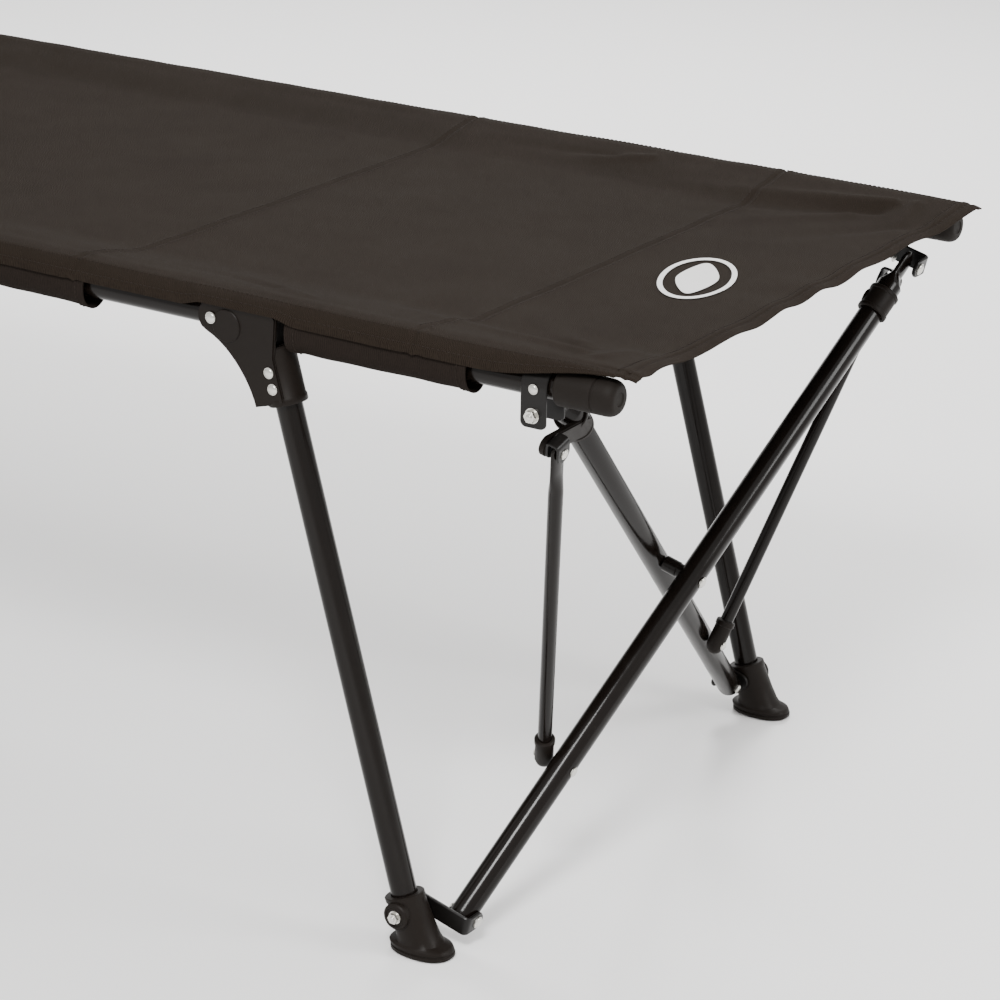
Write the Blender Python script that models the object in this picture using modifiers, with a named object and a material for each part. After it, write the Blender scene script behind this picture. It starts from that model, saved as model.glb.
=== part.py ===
"""Folding cot: a fabric bed on two hinged side rails, four splayed legs and a scissor frame at each end."""
import math

import bmesh
import bpy
from mathutils import Matrix, Vector

# Driving dimensions, in metres. +X is the foot end, +Y the sleeper's left, +Z up.
BED_HALF_LENGTH = 0.965
RAIL_HEIGHT = 0.512
RAIL_Y = 0.290
TUBE_RADIUS = 0.011
GAP = 0.0003
SIDES = 16
PIN_SIDES = 12
DOME_STEPS = 4

# Pivots of the foot-end right corner, as (x, z)
MID_RAIL_PIVOT = (0.589, 0.512)
END_RAIL_PIVOT = (0.668, 0.508)
LEG_TOP = (0.640, 0.494)
FOOT_BOLT = (0.771, 0.034)
END_BOLT = (0.890, 0.490)
CENTRE_PIVOT_DROP = 0.030
CENTRE_EAR_RADIUS = 0.0088
CENTRE_SLEEVE_RADIUS = 0.0142

# Scissor diagonals: distance inboard of the rail, and the two layers along the scissor's normal
PIN_INSET = 0.032
OUTER_LAYER = 0.034
INNER_LAYER = -0.005
STRUT_LAYER = (OUTER_LAYER + INNER_LAYER) / 2
STRUT_RADIUS = 0.006
STRUT_FOOT_DISTANCE = 0.150
STRUT_TOP_INSET = 0.013
STRUT_TOP_DROP = 0.032
COLLAR_DROP = 0.034
COLLAR_LENGTH = 0.024
COLLAR_RADIUS = 0.0131
ARM_THICKNESS = 0.006
ARM_HALF_WIDTH = 0.0085
SPACER_RADIUS = 0.0070

# Fittings
PLATE = 0.0034
STRAP_HALF_WIDTH = 0.0085
CLEVIS_LEAF_INSET = 0.0166
YOKE_LEAF_INSET = 0.0150
PIN_RADIUS = 0.0033
PIN_HOLE = 0.0040
BRACKET_HALF_WIDTH = 0.0144
KNUCKLE_INNER = 0.0117
KNUCKLE_OUTER = 0.0158
SOCKET_RADIUS = 0.0150
BOOT_RADIUS = 0.0155
SOLE_HEIGHT = 0.009
SOLE_RADIUS = 0.019
SOLE_STRETCH = 1.5
SOLE_FORWARD = 0.015
BOOT_DEPTH = 0.014
SOCKET_LENGTH = 0.047
CAP_RADIUS = 0.0146
BED_BOTTOM = RAIL_HEIGHT + 0.0152
BED_THICKNESS = 0.006
BED_HALF_WIDTH = RAIL_Y + 0.014
PANEL_SPLIT = 0.640

COLOURS = {
    "steel": ((0.012, 0.011, 0.011), 0.28, 0.6),
    "plastic": ((0.016, 0.015, 0.015), 0.5, 0.0),
    "zinc": ((0.6, 0.6, 0.58), 0.35, 1.0),
    "fabric": ((0.035, 0.030, 0.027), 0.9, 0.0),
}


def clear_scene():
    for item in list(bpy.data.objects):
        bpy.data.objects.remove(item, do_unlink=True)


def new_collection(name):
    collection = bpy.data.collections.new(name)
    bpy.context.scene.collection.children.link(collection)
    return collection


def material(kind):
    found = bpy.data.materials.get(kind)
    if found:
        return found
    colour, roughness, metallic = COLOURS[kind]
    made = bpy.data.materials.new(kind)
    made.use_nodes = True
    shader = made.node_tree.nodes["Principled BSDF"]
    shader.inputs["Base Color"].default_value = (*colour, 1.0)
    shader.inputs["Roughness"].default_value = roughness
    shader.inputs["Metallic"].default_value = metallic
    return made


def mesh_object(name, bm, kind):
    mesh = bpy.data.meshes.new(name)
    bm.to_mesh(mesh)
    bm.free()
    item = bpy.data.objects.new(name, mesh)
    item.data.materials.append(material(kind))
    COT.objects.link(item)
    return item


def rod(name, start, end, radius, kind="steel", sides=SIDES, end_radius=None):
    """A capped cylinder or cone between two points."""
    start = Vector(start)
    end = Vector(end)
    along = end - start
    bm = bmesh.new()
    bmesh.ops.create_cone(
        bm,
        cap_ends=True,
        segments=sides,
        radius1=radius,
        radius2=radius if end_radius is None else end_radius,
        depth=along.length,
    )
    turn = Vector((0, 0, 1)).rotation_difference(along.normalized()).to_matrix().to_4x4()
    bm.transform(Matrix.Translation((start + end) / 2) @ turn)
    return mesh_object(name, bm, kind)


def round_tube(name, start, end, radius, kind="steel"):
    """A tube with domed ends: a profile turned by a Screw modifier. The domes reach past start and end."""
    start = Vector(start)
    end = Vector(end)
    length = (end - start).length
    top = [(x, length + z) for x, z in reversed(arc(0.0, 0.0, radius, 0, 90, DOME_STEPS))]
    bottom = [(x, z) for x, z in reversed(arc(0.0, 0.0, radius, -90, 0, DOME_STEPS))]
    profile = top + bottom
    bm = bmesh.new()
    points = [bm.verts.new((max(x, 0.0), 0, z)) for x, z in profile]
    for a, b in zip(points, points[1:]):
        bm.edges.new((a, b))
    item = mesh_object(name, bm, kind)
    turned = item.modifiers.new("turned", "SCREW")
    turned.steps = SIDES
    turned.render_steps = SIDES
    turned.use_merge_vertices = True
    turned.merge_threshold = 0.0001
    bake(item)
    turn = Vector((0, 0, 1)).rotation_difference((end - start).normalized()).to_matrix().to_4x4()
    item.data.transform(Matrix.Translation(start) @ turn)
    return item


def plate(name, outline, low, high, kind="steel"):
    """A flat outline in X and Z, filled and thickened along Y from low to high."""
    curve = bpy.data.curves.new(name, "CURVE")
    curve.dimensions = "2D"
    curve.fill_mode = "BOTH"
    curve.extrude = (high - low) / 2
    spline = curve.splines.new("POLY")
    spline.points.add(len(outline) - 1)
    for point, (x, z) in zip(spline.points, outline):
        point.co = (x, z, 0, 1)
    spline.use_cyclic_u = True
    flat = bpy.data.objects.new(name + "_outline", curve)
    COT.objects.link(flat)
    bpy.context.view_layer.update()
    mesh = bpy.data.meshes.new_from_object(flat.evaluated_get(bpy.context.evaluated_depsgraph_get()))
    bpy.data.objects.remove(flat, do_unlink=True)
    bm = bmesh.new()
    bm.from_mesh(mesh)
    bmesh.ops.remove_doubles(bm, verts=bm.verts, dist=0.00001)
    upright = Matrix(((1, 0, 0, 0), (0, 0, 1, (low + high) / 2), (0, 1, 0, 0), (0, 0, 0, 1)))
    bm.transform(upright)
    bmesh.ops.recalc_face_normals(bm, faces=bm.faces)
    return mesh_object(name, bm, kind)


def block(name, low, high, kind="steel"):
    bm = bmesh.new()
    bmesh.ops.create_cube(bm, size=1.0)
    size = Vector(high) - Vector(low)
    centre = (Vector(high) + Vector(low)) / 2
    bm.transform(Matrix.Translation(centre) @ Matrix.Diagonal((*size, 1.0)))
    return mesh_object(name, bm, kind)


def bake(item):
    """Replace an object's mesh with its evaluated one, and drop the modifiers."""
    bpy.context.view_layer.update()
    graph = bpy.context.evaluated_depsgraph_get()
    mesh = bpy.data.meshes.new_from_object(item.evaluated_get(graph))
    item.modifiers.clear()
    item.data = mesh


def combine(item, others, operation):
    for other in others:
        step = item.modifiers.new(operation.lower(), "BOOLEAN")
        step.operation = operation
        step.solver = "EXACT"
        step.object = other
        bake(item)
        bpy.data.objects.remove(other, do_unlink=True)
    return item


def join(item, *others):
    return combine(item, others, "UNION")


def cut(item, *others):
    return combine(item, others, "DIFFERENCE")


def arc(cx, cz, radius, start, end, steps):
    angles = [math.radians(start + (end - start) * i / steps) for i in range(steps + 1)]
    return [(cx + radius * math.cos(a), cz + radius * math.sin(a)) for a in angles]


def leg_frame():
    """Unit vectors down the leg and square to it, in X and Z."""
    dx = FOOT_BOLT[0] - LEG_TOP[0]
    dz = FOOT_BOLT[1] - LEG_TOP[1]
    length = math.hypot(dx, dz)
    return (dx / length, dz / length), (-dz / length, dx / length)


def scissor_frame():
    """Length of the foot-to-end line, its unit vector and the scissor's outward normal, in X and Z."""
    dx = END_BOLT[0] - FOOT_BOLT[0]
    dz = END_BOLT[1] - FOOT_BOLT[1]
    rise = math.hypot(dx, dz)
    return rise, (dx / rise, dz / rise), (dz / rise, -dx / rise)


RISE, UP, OUT = scissor_frame()
PIN_Y = RAIL_Y - PIN_INSET
LEG_LENGTH = math.hypot(FOOT_BOLT[0] - LEG_TOP[0], FOOT_BOLT[1] - LEG_TOP[1])


def scissor_point(y, up, out):
    """A point of the scissor plane: y across, up along the foot-to-end line, out along its normal."""
    x = FOOT_BOLT[0] + up * UP[0] + out * OUT[0]
    z = FOOT_BOLT[1] + up * UP[1] + out * OUT[1]
    return Vector((x, y, z))


def along_diagonal(distance, sign, layer):
    """The point at a distance from the lower pin; sign is the side where the diagonal stands."""
    share = distance / math.hypot(RISE, 2 * PIN_Y)
    return scissor_point(sign * PIN_Y * (1 - 2 * share), RISE * share, layer)


def leg_point(along, across):
    """A point in X and Z, measured down the leg from its top and square to it."""
    down, side = leg_frame()
    x = LEG_TOP[0] + down[0] * along + side[0] * across
    z = LEG_TOP[1] + down[1] * along + side[1] * across
    return x, z


def leg_rod(name, start, end, radius, kind="steel", sides=SIDES):
    """A rod on the leg's axis, between two distances down from its top."""
    low_x, low_z = leg_point(start, 0.0)
    high_x, high_z = leg_point(end, 0.0)
    return rod(name, (low_x, -RAIL_Y, low_z), (high_x, -RAIL_Y, high_z), radius, kind, sides)


def leg_tube(name):
    return leg_rod(name, 0.0, LEG_LENGTH, TUBE_RADIUS)


def knuckle_hollow():
    """The concave edge under the mid rail, from its pivot down to the socket's foot."""
    start = (MID_RAIL_PIVOT[0] - 0.012, MID_RAIL_PIVOT[1] - 0.0105)
    end = leg_point(SOCKET_LENGTH - 0.002, -0.022)
    points = []
    for share in (0.25, 0.5, 0.75, 1.0):
        turn = math.pi / 2 * share
        x = start[0] + 0.036 * math.sin(turn) + (end[0] - start[0] - 0.036) * share
        z = start[1] + (end[1] - start[1]) * (1 - math.cos(turn) * (1 - 0.3 * share))
        points.append((x, z))
    return points


def leg_knuckle(name):
    """Two side plates around the rail ends, and a socket on the leg's top."""
    outline = arc(*MID_RAIL_PIVOT, 0.0146, 90, 221, 7) + knuckle_hollow()
    outline += [leg_point(SOCKET_LENGTH - 0.002, SOCKET_RADIUS), leg_point(0.006, SOCKET_RADIUS)]
    outer_outline = outline + [(LEG_TOP[0] + 0.009, RAIL_HEIGHT + 0.014)]
    inner_outline = outline + arc(*END_RAIL_PIVOT, 0.0130, -60, 90, 6)
    outer = plate(name, outer_outline, -RAIL_Y - KNUCKLE_OUTER, -RAIL_Y - KNUCKLE_INNER, "plastic")
    inner = plate("inner_plate", inner_outline, -RAIL_Y + KNUCKLE_INNER, -RAIL_Y + KNUCKLE_OUTER, "plastic")
    socket = leg_rod("socket", 0.0, SOCKET_LENGTH, SOCKET_RADIUS, "plastic")
    bore = leg_rod("bore", -0.02, SOCKET_LENGTH + 0.02, TUBE_RADIUS + GAP)
    join(socket, outer, inner)
    cut(socket, bore)
    for x, z in (MID_RAIL_PIVOT, END_RAIL_PIVOT):
        hole = rod("hole", (x, -RAIL_Y - 0.03, z), (x, -RAIL_Y + 0.03, z), PIN_HOLE, sides=PIN_SIDES)
        cut(socket, hole)
    socket.name = name
    return socket


def leg_foot(name):
    """A boot on the leg's end with a flared, flat sole."""
    top_x, top_z = leg_point(LEG_LENGTH - BOOT_DEPTH, 0.0)
    sole_x = FOOT_BOLT[0] + SOLE_FORWARD
    boot = rod(name, (sole_x, -RAIL_Y, 0.004), (top_x, -RAIL_Y, top_z), BOOT_RADIUS * 1.10, "plastic",
               end_radius=BOOT_RADIUS)
    sole_top = (0.0, -RAIL_Y, SOLE_HEIGHT)
    sole = rod("sole", (0.0, -RAIL_Y, -0.004), sole_top, SOLE_RADIUS, "plastic", sides=24)
    stretch = Matrix.Diagonal((SOLE_STRETCH, 1, 1, 1))
    sole.data.transform(Matrix.Translation((sole_x, 0, 0)) @ stretch)
    join(boot, sole)
    below = block("below", (sole_x - 0.2, -RAIL_Y - 0.2, -0.1), (sole_x + 0.2, -RAIL_Y + 0.2, 0.0))
    cut(boot, below)
    socket = leg_rod("socket", LEG_LENGTH + GAP, LEG_LENGTH - 0.08, TUBE_RADIUS + GAP)
    cut(boot, socket)
    boot.name = name
    return boot


def corner_fitting(name, side, up, layer, outboard):
    """A bent strap: one leaf beside the leg or rail, one leaf across the diagonal's end, and its pin.

    side is -1 at the right rail and 1 at the left one, up the height of its bolt on the foot-to-end line,
    layer the diagonal's layer, and outboard is 1 where the cross leaf lies outside the diagonal.
    """
    leaf_far = RAIL_Y - (YOKE_LEAF_INSET if up > 0 else CLEVIS_LEAF_INSET)
    leaf_near = leaf_far - PLATE
    face = layer + outboard * (TUBE_RADIUS + 0.0004)
    back = face + outboard * PLATE
    half = STRAP_HALF_WIDTH
    outline = arc(0.0, 0.0, half, 90 * outboard, 90 * outboard + 180, 6)
    outline += [(back, -half * outboard), (back, half * outboard)]
    placed = [
        (
            FOOT_BOLT[0] + (up + b) * UP[0] + a * OUT[0],
            FOOT_BOLT[1] + (up + b) * UP[1] + a * OUT[1],
        )
        for a, b in outline
    ]
    low, high = sorted((side * leaf_near, side * leaf_far))
    leaf = plate(name, placed, low, high, "steel")
    width = half - 0.0004
    skin = back - outboard * 0.0002
    cross_outline = [(face, up - width), (skin, up - width), (skin, up + width), (face, up + width)]
    cross = [
        (FOOT_BOLT[0] + b * UP[0] + a * OUT[0], FOOT_BOLT[1] + b * UP[1] + a * OUT[1])
        for a, b in cross_outline
    ]
    far = side * (PIN_Y - 0.009)
    low, high = sorted((side * (leaf_near + leaf_far) / 2, far))
    strap = plate("strap", cross, low, high, "steel")
    pin = rod(
        "pin",
        scissor_point(side * PIN_Y, up, layer - outboard * (TUBE_RADIUS + 0.0026)),
        scissor_point(side * PIN_Y, up, back + outboard * 0.0020),
        PIN_RADIUS,
        sides=PIN_SIDES,
    )
    join(leaf, strap, pin)
    leaf.name = name
    return leaf


def end_rail(name):
    start = (END_RAIL_PIVOT[0] - 0.005, -RAIL_Y, RAIL_HEIGHT)
    rail = rod(name, start, (BED_HALF_LENGTH - 0.014, -RAIL_Y, RAIL_HEIGHT), TUBE_RADIUS)
    x, z = END_RAIL_PIVOT
    reach = KNUCKLE_OUTER + 0.0012
    pin = rod("pin", (x, -RAIL_Y, z), (x, -RAIL_Y + reach, z), PIN_RADIUS, sides=PIN_SIDES)
    join(rail, pin)
    rail.name = name
    return rail


def mid_rail(name):
    x, z = MID_RAIL_PIVOT
    rail = rod(name, (0.004, -RAIL_Y, RAIL_HEIGHT), (x + 0.010, -RAIL_Y, RAIL_HEIGHT), TUBE_RADIUS)
    reach = KNUCKLE_OUTER + 0.0012
    pin = rod("pin", (x, -RAIL_Y - reach, z), (x, -RAIL_Y + reach, z), PIN_RADIUS, sides=PIN_SIDES)
    join(rail, pin)
    rail.name = name
    return rail


def end_bracket(name):
    """A strap bent over the rail, with both ends bolted below it."""
    x, z = END_BOLT
    inner = TUBE_RADIUS + 0.0006
    outer = BRACKET_HALF_WIDTH
    top = RAIL_HEIGHT + 0.0144
    bottom = z - 0.010
    body = block(name, (x - 0.0115, -RAIL_Y - outer, bottom), (x + 0.0115, -RAIL_Y + outer, top))
    low = (x - 0.02, -RAIL_Y - inner, bottom - 0.01)
    throat = block("throat", low, (x + 0.02, -RAIL_Y + inner, RAIL_HEIGHT))
    tunnel = rod("tunnel", (x - 0.02, -RAIL_Y, RAIL_HEIGHT), (x + 0.02, -RAIL_Y, RAIL_HEIGHT), inner)
    cut(body, throat, tunnel)
    head = (x, -RAIL_Y - outer - 0.007, z)
    bolt = rod("bolt", head, (x, -RAIL_Y + outer, z), PIN_RADIUS, sides=PIN_SIDES)
    join(body, bolt)
    body.name = name
    return body


def end_cap(name):
    """The thicker plastic sleeve with a domed end that closes the rail."""
    start = (END_BOLT[0] + 0.0160, -RAIL_Y, RAIL_HEIGHT)
    middle = (BED_HALF_LENGTH - 0.012, -RAIL_Y, RAIL_HEIGHT)
    end = (BED_HALF_LENGTH - 0.001, -RAIL_Y, RAIL_HEIGHT)
    cap = rod(name, start, middle, CAP_RADIUS, "plastic")
    dome_start = (middle[0] - 0.001, -RAIL_Y, RAIL_HEIGHT)
    dome = rod("dome", dome_start, end, CAP_RADIUS, "plastic", end_radius=0.009)
    join(cap, dome)
    bore_end = (BED_HALF_LENGTH - 0.014 + GAP, -RAIL_Y, RAIL_HEIGHT)
    bore = rod("bore", (start[0] - 0.01, -RAIL_Y, RAIL_HEIGHT), bore_end, TUBE_RADIUS + GAP)
    cut(cap, bore)
    cap.name = name
    return cap


def diagonal_tube(name, side, layer):
    """A scissor tube from the foot on one side to the rail end on the other, drilled for its two pins."""
    length = math.hypot(RISE, 2 * PIN_Y)
    low = along_diagonal(0.0, side, layer)
    tube = round_tube(name, low, along_diagonal(length, side, layer), TUBE_RADIUS)
    for distance, at_side, up in ((0.0, side, 0.0), (length, -side, RISE)):
        hole = rod(
            "hole",
            scissor_point(at_side * PIN_Y, up, layer - 0.03),
            scissor_point(at_side * PIN_Y, up, layer + 0.03),
            PIN_HOLE,
            sides=PIN_SIDES,
        )
        cut(tube, hole)
    if layer == OUTER_LAYER:
        spacer = rod(
            "spacer",
            scissor_point(0.0, RISE / 2, INNER_LAYER + TUBE_RADIUS + 0.0004),
            scissor_point(0.0, RISE / 2, OUTER_LAYER),
            SPACER_RADIUS,
        )
        join(tube, spacer)
    tube.name = name
    return tube


def strut_ends(side):
    """The brace strut's foot, on its own diagonal, and its head, beside the rail's end bracket."""
    foot = along_diagonal(STRUT_FOOT_DISTANCE, side, STRUT_LAYER)
    head = scissor_point(side * (RAIL_Y - STRUT_TOP_INSET), RISE - STRUT_TOP_DROP, STRUT_LAYER)
    return foot, head


def brace_strut(name, side):
    foot, head = strut_ends(side)
    return round_tube(name, foot, head, STRUT_RADIUS)


def slide_collar(name, side, layer):
    """The sleeve that slides on a diagonal's upper end, with an arm behind the strut's head."""
    length = math.hypot(RISE, 2 * PIN_Y)
    top = along_diagonal(length - COLLAR_DROP, -side, layer)
    low = along_diagonal(length - COLLAR_DROP - COLLAR_LENGTH, -side, layer)
    collar = rod(name, low, top, COLLAR_RADIUS, "plastic")
    facing = 1 if layer < STRUT_LAYER else -1
    near_face = STRUT_LAYER - facing * (STRUT_RADIUS + 0.0004)
    far_face = near_face - facing * ARM_THICKNESS
    _, head = strut_ends(side)
    middle = (low + top) / 2
    upward = Vector((UP[0], 0, UP[1]))
    ends = [(point.y, (point - scissor_point(0, 0, 0)).dot(upward)) for point in (middle, head)]
    arm = []
    for y, up in ends:
        far = scissor_point(y, up, far_face)
        arm.append(rod("arm_end", far, scissor_point(y, up, near_face), ARM_HALF_WIDTH, "plastic"))
    run = Vector(ends[1]) - Vector(ends[0])
    square = Vector((-run.y, run.x)).normalized() * ARM_HALF_WIDTH
    bm = bmesh.new()
    bmesh.ops.create_cube(bm, size=1.0)
    for vert in bm.verts:
        y, up = ends[1] if vert.co.x > 0 else ends[0]
        sign = 1 if vert.co.y > 0 else -1
        out = far_face if vert.co.z > 0 else near_face
        vert.co = scissor_point(y + sign * square.x, up + sign * square.y, out)
    bmesh.ops.recalc_face_normals(bm, faces=bm.faces)
    web = mesh_object("arm_web", bm, "plastic")
    join(collar, web, *arm)
    bore = rod(
        "bore",
        along_diagonal(length - COLLAR_DROP + 0.02, -side, layer),
        along_diagonal(length - COLLAR_DROP - COLLAR_LENGTH - 0.02, -side, layer),
        TUBE_RADIUS + GAP,
    )
    cut(collar, bore)
    collar.name = name
    return collar


def centre_hinge(name, fork):
    """A sleeve on the rail's middle end with an ear, or a fork of two ears, down to the centre pivot."""
    low_z = RAIL_HEIGHT - CENTRE_PIVOT_DROP
    sleeve_end = (0.046, -RAIL_Y, RAIL_HEIGHT)
    sleeve = rod(name, (0.0015, -RAIL_Y, RAIL_HEIGHT), sleeve_end, CENTRE_SLEEVE_RADIUS, "plastic")
    outline = arc(0.0, low_z, CENTRE_EAR_RADIUS, 150, 330, 8)
    outline += [(0.034, RAIL_HEIGHT - 0.006), (0.0065, RAIL_HEIGHT - 0.006)]
    spans = ((-0.0042, 0.0042),)
    if fork:
        spans = ((-0.0092, -0.0047), (0.0047, 0.0092))
    ears = [plate("ear", outline, -RAIL_Y + low, -RAIL_Y + high, "plastic") for low, high in spans]
    join(sleeve, *ears)
    bore = rod("bore", (-0.02, -RAIL_Y, RAIL_HEIGHT), (0.08, -RAIL_Y, RAIL_HEIGHT), TUBE_RADIUS + GAP)
    cut(sleeve, bore)
    pin_low = (0.0, -RAIL_Y - 0.0108, low_z)
    pin_high = (0.0, -RAIL_Y + 0.0108, low_z)
    if fork:
        join(sleeve, rod("pin", pin_low, pin_high, PIN_RADIUS, sides=PIN_SIDES))
    else:
        cut(sleeve, rod("hole", pin_low, pin_high, PIN_HOLE, sides=PIN_SIDES))
    sleeve.name = name
    return sleeve


def bed_panel(name, start, end):
    return block(
        name,
        (start, -BED_HALF_WIDTH, BED_BOTTOM),
        (end, BED_HALF_WIDTH, BED_BOTTOM + BED_THICKNESS),
        "fabric",
    )


def pillow(name):
    """A plain closed body for the loose pillow at the head end."""
    low = Vector((-0.925, -0.215, BED_BOTTOM + BED_THICKNESS + 0.0004))
    body = block(name, low, (-0.655, 0.215, low.z + 0.046), "fabric")
    step = body.modifiers.new("rounded", "BEVEL")
    step.width = 0.018
    step.segments = 2
    bake(body)
    return body


def mirrored(item, name):
    """The left-hand twin of a right-hand piece."""
    return moved_copy(item, name, Matrix.Diagonal((1, -1, 1, 1)), True)


def turned(item, name):
    """The head-end twin of a foot-end piece: half a turn about the upright axis."""
    return moved_copy(item, name, Matrix.Rotation(math.pi, 4, "Z"), False)


def moved_copy(item, name, matrix, flip):
    bm = bmesh.new()
    bm.from_mesh(item.data)
    bm.transform(matrix)
    if flip:
        bmesh.ops.reverse_faces(bm, faces=bm.faces)
    kind = item.data.materials[0].name
    return mesh_object(name, bm, kind)


def foot_end():
    """Every fitting of the foot end, by corner."""
    pieces = {"right": {}, "left": {}}
    makers = {
        "leg_tube": leg_tube,
        "leg_knuckle": leg_knuckle,
        "leg_foot": leg_foot,
        "end_rail": end_rail,
        "end_bracket": end_bracket,
        "end_cap": end_cap,
    }
    for part, maker in makers.items():
        item = maker("foot_right_" + part)
        pieces["right"][part] = item
        pieces["left"][part] = mirrored(item, "foot_left_" + part)
    for word, side, layer, outboard in (("right", -1, OUTER_LAYER, 1), ("left", 1, INNER_LAYER, -1)):
        own = pieces[word]
        stem = "foot_" + word + "_"
        own["foot_clevis"] = corner_fitting(stem + "foot_clevis", side, 0.0, layer, outboard)
        own["diagonal_tube"] = diagonal_tube(stem + "diagonal_tube", side, layer)
        own["top_yoke"] = corner_fitting(stem + "top_yoke", -side, RISE, layer, outboard)
        own["brace_strut"] = brace_strut(stem + "brace_strut", side)
        other = INNER_LAYER if layer == OUTER_LAYER else OUTER_LAYER
        own["slide_collar"] = slide_collar(stem + "slide_collar", side, other)
    return pieces


def finish(item):
    item.data.shade_smooth()
    item.data.set_sharp_from_angle(angle=math.radians(35))


def build():
    foot = foot_end()
    opposite = {"right": "left", "left": "right"}
    for word, pieces in foot.items():
        for part, item in pieces.items():
            turned(item, "head_" + opposite[word] + "_" + part)
    rail = mid_rail("foot_right_mid_rail")
    turned(rail, "head_left_mid_rail")
    turned(mirrored(rail, "foot_left_mid_rail"), "head_right_mid_rail")
    ear = centre_hinge("foot_right_centre_hinge", False)
    mirrored(ear, "foot_left_centre_hinge")
    fork = centre_hinge("fork", True)
    turned(fork, "head_left_centre_hinge")
    turned(mirrored(fork, "fork_twin"), "head_right_centre_hinge")
    for spare in ("fork", "fork_twin"):
        bpy.data.objects.remove(bpy.data.objects[spare], do_unlink=True)
    half = GAP / 2
    bed_panel("foot_end_panel", PANEL_SPLIT + half, BED_HALF_LENGTH)
    bed_panel("foot_mid_panel", half, PANEL_SPLIT - half)
    bed_panel("head_mid_panel", -PANEL_SPLIT + half, -half)
    bed_panel("head_end_panel", -BED_HALF_LENGTH, -PANEL_SPLIT - half)
    pillow("pillow")
    for item in COT.objects:
        finish(item)


clear_scene()
COT = new_collection("folding_cot")
build()
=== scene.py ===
import math
import bmesh
import bpy
from mathutils import Matrix, Vector, noise


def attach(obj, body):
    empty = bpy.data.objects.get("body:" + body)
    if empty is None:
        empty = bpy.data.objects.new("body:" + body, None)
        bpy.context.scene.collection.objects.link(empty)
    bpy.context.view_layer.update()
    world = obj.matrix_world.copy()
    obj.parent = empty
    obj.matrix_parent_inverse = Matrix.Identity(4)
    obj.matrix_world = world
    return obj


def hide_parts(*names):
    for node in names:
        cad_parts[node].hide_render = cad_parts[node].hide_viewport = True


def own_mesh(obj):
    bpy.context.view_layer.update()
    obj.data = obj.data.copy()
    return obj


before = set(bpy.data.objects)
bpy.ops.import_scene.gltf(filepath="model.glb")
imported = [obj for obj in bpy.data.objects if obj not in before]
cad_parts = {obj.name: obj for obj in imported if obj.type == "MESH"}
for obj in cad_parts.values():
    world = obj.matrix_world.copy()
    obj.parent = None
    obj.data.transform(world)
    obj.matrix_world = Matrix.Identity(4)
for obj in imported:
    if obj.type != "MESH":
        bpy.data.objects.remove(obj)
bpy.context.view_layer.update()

# the cot's own sizes in metres, as the frame has them: +X foot end, +Y sleeper's left
cot = {
    "halfLength": 0.965,
    "railHeight": 0.512,
    "railY": 0.290,
    "tubeRadius": 0.011,
    "midPivot": (0.589, 0.512),
    "endPivot": (0.668, 0.508),
    "legTop": (0.640, 0.494),
    "footBolt": (0.771, 0.034),
    "endBolt": (0.890, 0.490),
    "pinY": 0.258,
    "outerLayer": 0.034,
    "innerLayer": -0.005,
    "strutLayer": 0.0145,
}
railZ = cot["railHeight"]
railY = cot["railY"]
tubeRadius = cot["tubeRadius"]
pinY = cot["pinY"]


# frames of the leg and the scissor

def unitBetween(a, b):
    length = math.hypot(b[0] - a[0], b[1] - a[1])
    return length, ((b[0] - a[0]) / length, (b[1] - a[1]) / length)


legLength, legDown = unitBetween(cot["legTop"], cot["footBolt"])
legSide = (-legDown[1], legDown[0])
rise, up = unitBetween(cot["footBolt"], cot["endBolt"])
outward = (up[1], -up[0])
outVector = Vector((outward[0], 0.0, outward[1]))
upVector = Vector((up[0], 0.0, up[1]))
diagonalLength = math.hypot(rise, 2 * pinY)


def legPoint(along, across, y=0.0):
    x = cot["legTop"][0] + legDown[0] * along + legSide[0] * across
    z = cot["legTop"][1] + legDown[1] * along + legSide[1] * across
    return Vector((x, y, z))


def scissorPoint(y, height, out):
    x = cot["footBolt"][0] + height * up[0] + out * outward[0]
    z = cot["footBolt"][1] + height * up[1] + out * outward[1]
    return Vector((x, y, z))


def alongDiagonal(distance, side, layer):
    share = distance / diagonalLength
    return scissorPoint(side * pinY * (1 - 2 * share), rise * share, layer)


halfTurn = Matrix.Rotation(math.pi, 4, "Z")
cornerPlace = {
    "foot_right": Matrix.Identity(4),
    "foot_left": Matrix.Diagonal((1, -1, 1, 1)),
    "head_left": halfTurn,
    "head_right": Matrix.Diagonal((-1, 1, 1, 1)),
}
# corner: side at the foot end, layer, side of the diagonal where its straps lie, place
scissorPlace = {
    "foot_right": (-1, cot["outerLayer"], 1, Matrix.Identity(4)),
    "foot_left": (1, cot["innerLayer"], -1, Matrix.Identity(4)),
    "head_left": (-1, cot["outerLayer"], 1, halfTurn),
    "head_right": (1, cot["innerLayer"], -1, halfTurn),
}


# shader groups

def nodeOf(tree, kind, inputs, **settings):
    # a node with its settings, and its inputs either linked or set
    node = tree.nodes.new(kind)
    for label, value in settings.items():
        setattr(node, label, value)
    for key, value in inputs.items():
        if isinstance(value, bpy.types.NodeSocket):
            tree.links.new(value, node.inputs[key])
        else:
            node.inputs[key].default_value = value
    return node


def newShaderGroup(name, inputs, outputs):
    group = bpy.data.node_groups.new(name, "ShaderNodeTree")
    for label, kind, value in inputs:
        socket = group.interface.new_socket(label, in_out="INPUT", socket_type=kind)
        socket.default_value = value
    for label in outputs:
        group.interface.new_socket(label, in_out="OUTPUT", socket_type="NodeSocketFloat")
    return group, group.nodes.new("NodeGroupInput").outputs, group.nodes.new("NodeGroupOutput")


def sendOut(tree, sink, values):
    for label, value in values.items():
        tree.links.new(value, sink.inputs[label])
    return tree


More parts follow.
